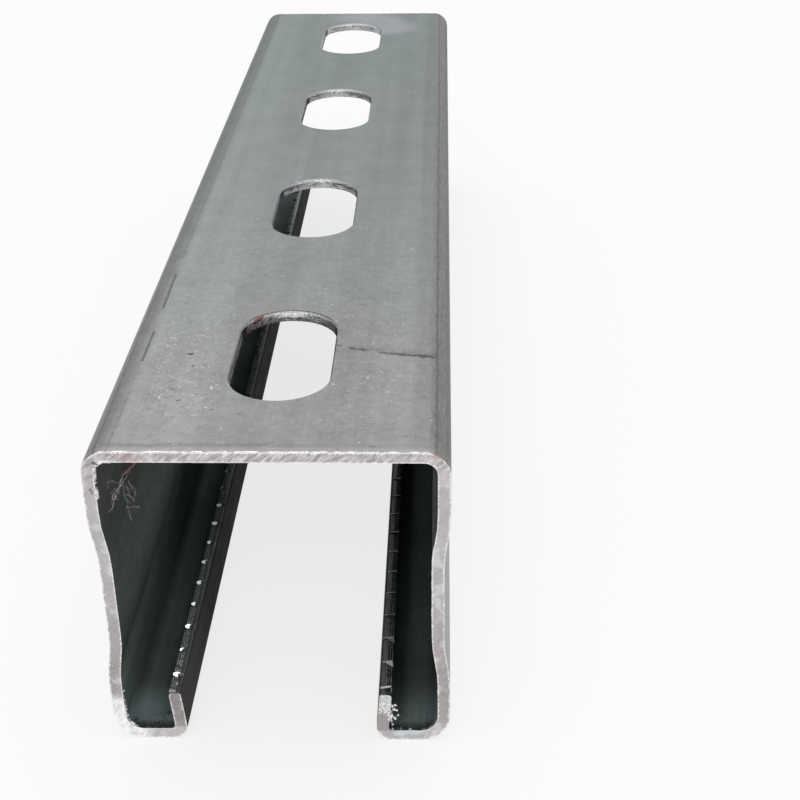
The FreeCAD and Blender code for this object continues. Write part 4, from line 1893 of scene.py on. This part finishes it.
@dataclass(frozen=True)
class FootTears:
    """What the saw tore up on the front end: splinters at the feet and on the legs, and crumbs."""

    section: Section
    front: float = FRONT
    sunk: float = 0.12 * MM
    behind: float = 0.05 * MM
    behind_share: float = 0.3
    turn_radius: float = 3.0 * MM
    lean: Place = (0.0, 0.35, 0.25)
    torn: tuple[TornEdge, ...] = (
        TornEdge(Box((-19.6, -17.4), (2.2, 7.2)), 0.2, 0.52),
        TornEdge(Box((-17.4, -12.9), (1.3, 3.0)), 0.17, 0.26),
        TornEdge(Box((-19.5, -16.4), (35.0, 40.0)), 0.16, 0.42),
        TornEdge(Box((17.0, 19.9), (1.3, 34.0)), 0.22, 0.28),
        TornEdge(Box((13.4, 17.5), (1.0, 3.0)), 0.2, 0.4),
        TornEdge(Box((-20.5, -19.8), (9.5, 17.0)), 0.3, 0.24, inner=False),
    )
    crumbs: tuple[TornEdge, ...] = (
        TornEdge(Box((-19.2, -16.6), (35.2, 40.0)), 0.25, 0.62),
        TornEdge(Box((-19.3, -17.6), (2.0, 6.0)), 0.3, 0.34),
    )

    def row(self, torn: TornEdge) -> list[StripPoint]:
        """Points along a torn stretch of an edge.

        Args:
            torn: The stretch.

        Returns:
            The points.
        """
        step = torn.step * MM
        turn = math.degrees(step / self.turn_radius)
        fine = replace(self.section, longest_step=step, widest_turn=turn)
        side = 1.0 if torn.inner else -1.0
        size = torn.size * MM
        points = []
        for point in fine.points():
            edge = point.place + point.inward * side * (point.half - self.sunk)
            if torn.box.holds(edge):
                place = Vector((edge.x, self.front + self.behind_share * size + self.behind, edge.z))
                way = point.inward * side + Vector(self.lean)
                points.append(StripPoint(place, way.normalized(), size))
        return points

    def build(self, material: Material) -> list[Object]:
        """Make the splinters and the crumbs."""
        splinters = Scraps("saw_splinters", Scrap.SPLINTER, seed=4)
        crumbs = Scraps("saw_crumbs", Scrap.CRUMB, seed=9)
        return [
            splinters.build([self.row(torn) for torn in self.torn], material),
            crumbs.build([self.row(torn) for torn in self.crumbs], material),
        ]


@dataclass(frozen=True)
class Swarf:
    """A torn lump of swarf that hangs on the right return, beside the saw's cut."""

    depth: float = -97.6 * MM
    lumps: tuple[tuple[float, float, float], ...] = (
        (13.3, 5.6, 0.55), (13.45, 5.1, 0.75), (13.75, 4.55, 0.6), (13.35, 4.2, 0.8), (14.15, 4.4, 0.4),
        (13.4, 3.5, 0.7), (13.9, 3.15, 0.55), (13.35, 2.8, 0.6), (14.3, 3.6, 0.35), (14.0, 5.2, 0.4),
        (13.6, 2.2, 0.5),
    )

    def build(self, material: Material) -> Object:
        """Make the lump from crumbs, each at its X and Z in millimetres and with its size."""
        row = [
            StripPoint(Vector((x * MM, self.depth, z * MM)), along(0.0), size * MM)
            for x, z, size in self.lumps
        ]
        return Scraps("swarf", Scrap.CRUMB, stray=1.5, smallest=0.7, seed=6).build([row], material)


@dataclass(frozen=True)
class Strands:
    """Fine rusty threads that cling to the left corner, just inside the front end."""

    depth: float = -97.0 * MM
    radius: float = 0.045 * MM
    step: float = 0.08
    thick_count: int = 2
    thick: float = 1.2
    thin: float = 0.6
    finest: float = 0.32
    paths: tuple[tuple[Range, ...], ...] = (
        ((-14.7, 39.7), (-14.8, 38.8), (-15.3, 38.1), (-16.2, 37.6), (-16.35, 36.9), (-16.6, 36.0),
         (-17.15, 35.2), (-17.4, 34.3), (-17.8, 33.2), (-18.4, 32.5)),
        ((-14.5, 39.7), (-14.7, 38.9), (-15.5, 38.2), (-16.1, 37.8)),
        ((-16.35, 36.9), (-16.35, 35.9), (-16.25, 35.1), (-16.1, 34.5), (-15.7, 33.7)),
        ((-16.8, 35.3), (-17.3, 35.9), (-17.7, 35.3), (-17.75, 34.4), (-17.4, 34.0)),
        ((-15.6, 36.9), (-15.4, 36.3), (-15.5, 35.6)),
        ((-16.2, 35.0), (-15.7, 34.9), (-15.3, 34.4), (-15.2, 33.9)),
        ((-16.2, 33.2), (-15.5, 33.3), (-14.6, 33.5)),
        ((-17.4, 35.0), (-16.9, 34.9), (-16.5, 35.3)),
        ((-16.0, 33.6), (-16.0, 32.6), (-15.8, 31.5)),
        ((-16.4, 36.6), (-16.9, 35.8), (-17.5, 35.0), (-17.9, 34.0), (-17.8, 33.0)),
        ((-16.3, 36.8), (-15.9, 35.8), (-15.6, 35.2), (-15.4, 34.4)),
        ((-15.2, 38.4), (-15.8, 37.4), (-16.2, 36.6), (-17.0, 35.6), (-17.2, 34.8), (-16.9, 34.2)),
        ((-16.9, 36.4), (-17.3, 36.9), (-17.9, 36.6), (-18.0, 35.8)),
        ((-15.3, 36.0), (-15.0, 35.2), (-15.1, 34.6)),
    )

    def row(self, path: tuple[Range, ...], thick: float) -> list[StripPoint]:
        """A path in the section, in millimetres, cut into short steps."""
        points = []
        for number, (x, z) in enumerate(path[:-1]):
            next_x, next_z = path[number + 1]
            count = max(1, round(math.hypot(next_x - x, next_z - z) / self.step))
            for step in range(count):
                share = step / count
                here_x, here_z = x + (next_x - x) * share, z + (next_z - z) * share
                place = Vector((here_x * MM, self.depth, here_z * MM))
                points.append(StripPoint(place, along(0.0), self.radius * thick))
        return points

    def build(self, material: Material) -> Object:
        """Make the threads."""
        thick = [self.row(path, self.thick) for path in self.paths[:self.thick_count]]
        thin = [self.row(path, self.thin) for path in self.paths[self.thick_count:]]
        strands = Thread("strands", thinnest=0.4, sway=0.8 * MM, ripple=1.6 / MM, seed=8.0)
        return strands.build(thick + thin, material)

    def fuzz(self, material: Material) -> Object:
        """Make the finest threads, which stray further from the same paths."""
        rows = [self.row(path, self.finest) for path in self.paths]
        fuzz = Thread("fuzz", thinnest=0.5, sway=1.9 * MM, ripple=0.9 / MM, seed=21.0)
        return fuzz.build(rows, material)


@dataclass(frozen=True)
class Studio:
    """The pale floor, the soft lamps and the camera."""

    floor_size: float = 6.0
    camera_place: Place = (19.491 * MM, -233.597 * MM, 122.186 * MM)
    pitch: float = 28.74
    yaw: float = -1.87
    roll: float = 0.77
    focal_pixels: float = 1441.6
    fill: float = 0.6
    horizon: float = 0.55
    bright_above: float = 0.55
    floor_glow: float = 0.78
    floor_tone: float = 0.9
    floor_roughness: float = 0.9
    lamps: tuple[tuple[str, Place, float, float], ...] = (
        ("ceiling_lamp", (0.0, 0.1, 1.2), 1.2, 6.0),
        ("front_lamp", (-0.05, -0.76, 0.55), 0.35, 1.4),
    )
    image_pixels: float = 800.0
    sensor: float = 36.0

    def camera(self) -> Object:
        """The camera, at the photograph's viewing angle."""
        data = bpy.data.cameras.new("camera")
        data.sensor_width = self.sensor
        data.lens = self.focal_pixels / self.image_pixels * self.sensor
        data.clip_start = 0.01
        yaw, pitch, roll = (math.radians(angle) for angle in (self.yaw, self.pitch, self.roll))
        north = Vector((math.sin(yaw), math.cos(yaw), 0.0))
        forward = north * math.cos(pitch) - Vector((0.0, 0.0, math.sin(pitch)))
        level = Vector((math.cos(yaw), -math.sin(yaw), 0.0))
        down = forward.cross(level)
        right = level * math.cos(roll) + down * math.sin(roll)
        up = level * math.sin(roll) - down * math.cos(roll)
        camera = bpy.data.objects.new("camera", data)
        bpy.context.scene.collection.objects.link(camera)
        turn = Matrix((right, up, -forward)).transposed()
        camera.matrix_world = Matrix.Translation(self.camera_place) @ turn.to_4x4()
        bpy.context.scene.camera = camera
        return camera

    def seen(self, wiring: Wiring) -> Socket:
        """1 for the rays that see or mirror the studio, and 0 for those that only light it."""
        path = wiring.place("ShaderNodeLightPath").outputs
        either = wiring.math("MAXIMUM", path["Is Camera Ray"], path["Is Glossy Ray"])
        return wiring.math("MAXIMUM", either, path["Is Transmission Ray"])

    def floor(self) -> Object:
        """The plain pale floor. It glows a little for the camera, and keeps the channel's shadow."""
        half = self.floor_size / 2.0
        mesh = bpy.data.meshes.new("floor")
        corners = [(-half, -half, 0.0), (half, -half, 0.0), (half, half, 0.0), (-half, half, 0.0)]
        mesh.from_pydata(corners, [], [(0, 1, 2, 3)])
        floor = added_object("floor", mesh)
        made = bpy.data.materials.new("pale_floor")
        made.use_nodes = True
        shader = made.node_tree.nodes["Principled BSDF"]
        shader.inputs["Base Color"].default_value = (*(self.floor_tone,) * 3, 1.0)
        shader.inputs["Roughness"].default_value = self.floor_roughness
        wiring = Wiring(made.node_tree)
        glow = wiring.place("ShaderNodeEmission", {"Strength": 1.0}).outputs[0]
        share = wiring.times(self.seen(wiring), self.floor_glow)
        blend = wiring.place("ShaderNodeMixShader", {0: share, 1: shader.outputs[0], 2: glow}).outputs[0]
        wiring.tree.links.new(blend, made.node_tree.nodes["Material Output"].inputs["Surface"])
        mesh.materials.append(made)
        return floor

    def light(self) -> None:
        """The soft lamps and the pale surroundings."""
        world = bpy.data.worlds.new("studio")
        bpy.context.scene.world = world
        world.use_nodes = True
        wiring = Wiring(world.node_tree)
        background = world.node_tree.nodes["Background"]
        direction = wiring.place("ShaderNodeTexCoord").outputs["Generated"]
        up = wiring.apart(direction)[2]
        gradient = wiring.remap(up, 0.0, self.bright_above, self.horizon, 1.0)
        mirrored_world = wiring.place("ShaderNodeLightPath").outputs["Is Glossy Ray"]
        shown = wiring.blended(mirrored_world, 1.0, gradient)
        strength = wiring.blended(self.seen(wiring), self.fill, shown)
        world.node_tree.links.new(strength, background.inputs["Strength"])
        background.inputs["Color"].default_value = (1.0, 1.0, 1.0, 1.0)
        for name, place, size, power in self.lamps:
            self.lamp(name, Vector(place), size, power)

    def lamp(self, name: str, place: Vector, size: float, power: float) -> Object:
        """A soft square lamp that points at the channel.

        Args:
            name: The lamp's name.
            place: Where it hangs.
            size: The length of its sides.
            power: Its power in watts.

        Returns:
            The lamp.
        """
        data = bpy.data.lights.new(name, "AREA")
        data.size = size
        data.energy = power
        lamp = bpy.data.objects.new(name, data)
        lamp.matrix_world = Matrix.Translation(place) @ place.to_track_quat("Z", "Y").to_matrix().to_4x4()
        bpy.context.scene.collection.objects.link(lamp)
        return lamp


def declare(piece: Object) -> None:
    """Tell the frame what a piece moves with, and report it."""
    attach(piece, BODY)
    LOG.info("%s: %d faces", piece.name, len(piece.data.polygons))


def main() -> None:
    """Build the channel, then the studio round it."""
    logging.basicConfig(level=logging.INFO, format="%(message)s")
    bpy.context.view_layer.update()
    bpy.context.scene.view_settings.view_transform = "Standard"
    effects = Effects()
    finishes = (
        ZincOutside(), ZincInside(), ZincOnLips(), NickedSteel(), PunchedSteel(), SawnSteel(), TornSteel(),
        RustyThread())
    materials = {finish.face: finish.material(effects) for finish in finishes}
    section = Section()
    channel = Channel(section).build(materials)
    declare(channel)
    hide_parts(NODE)
    pieces = [
        SawBurrs(section).build(materials[Face.TORN]),
        *LipBurrs(section).build(materials[Face.TORN], materials[Face.NICKED]),
        *FootTears(section).build(materials[Face.TORN]),
        Swarf().build(materials[Face.TORN]),
        Strands().build(materials[Face.RUST]),
        Strands().fuzz(materials[Face.RUST]),
    ]
    for piece in pieces:
        declare(piece)
    studio = Studio()
    studio.camera()
    studio.floor()
    studio.light()


if __name__ == "__main__":
    main()
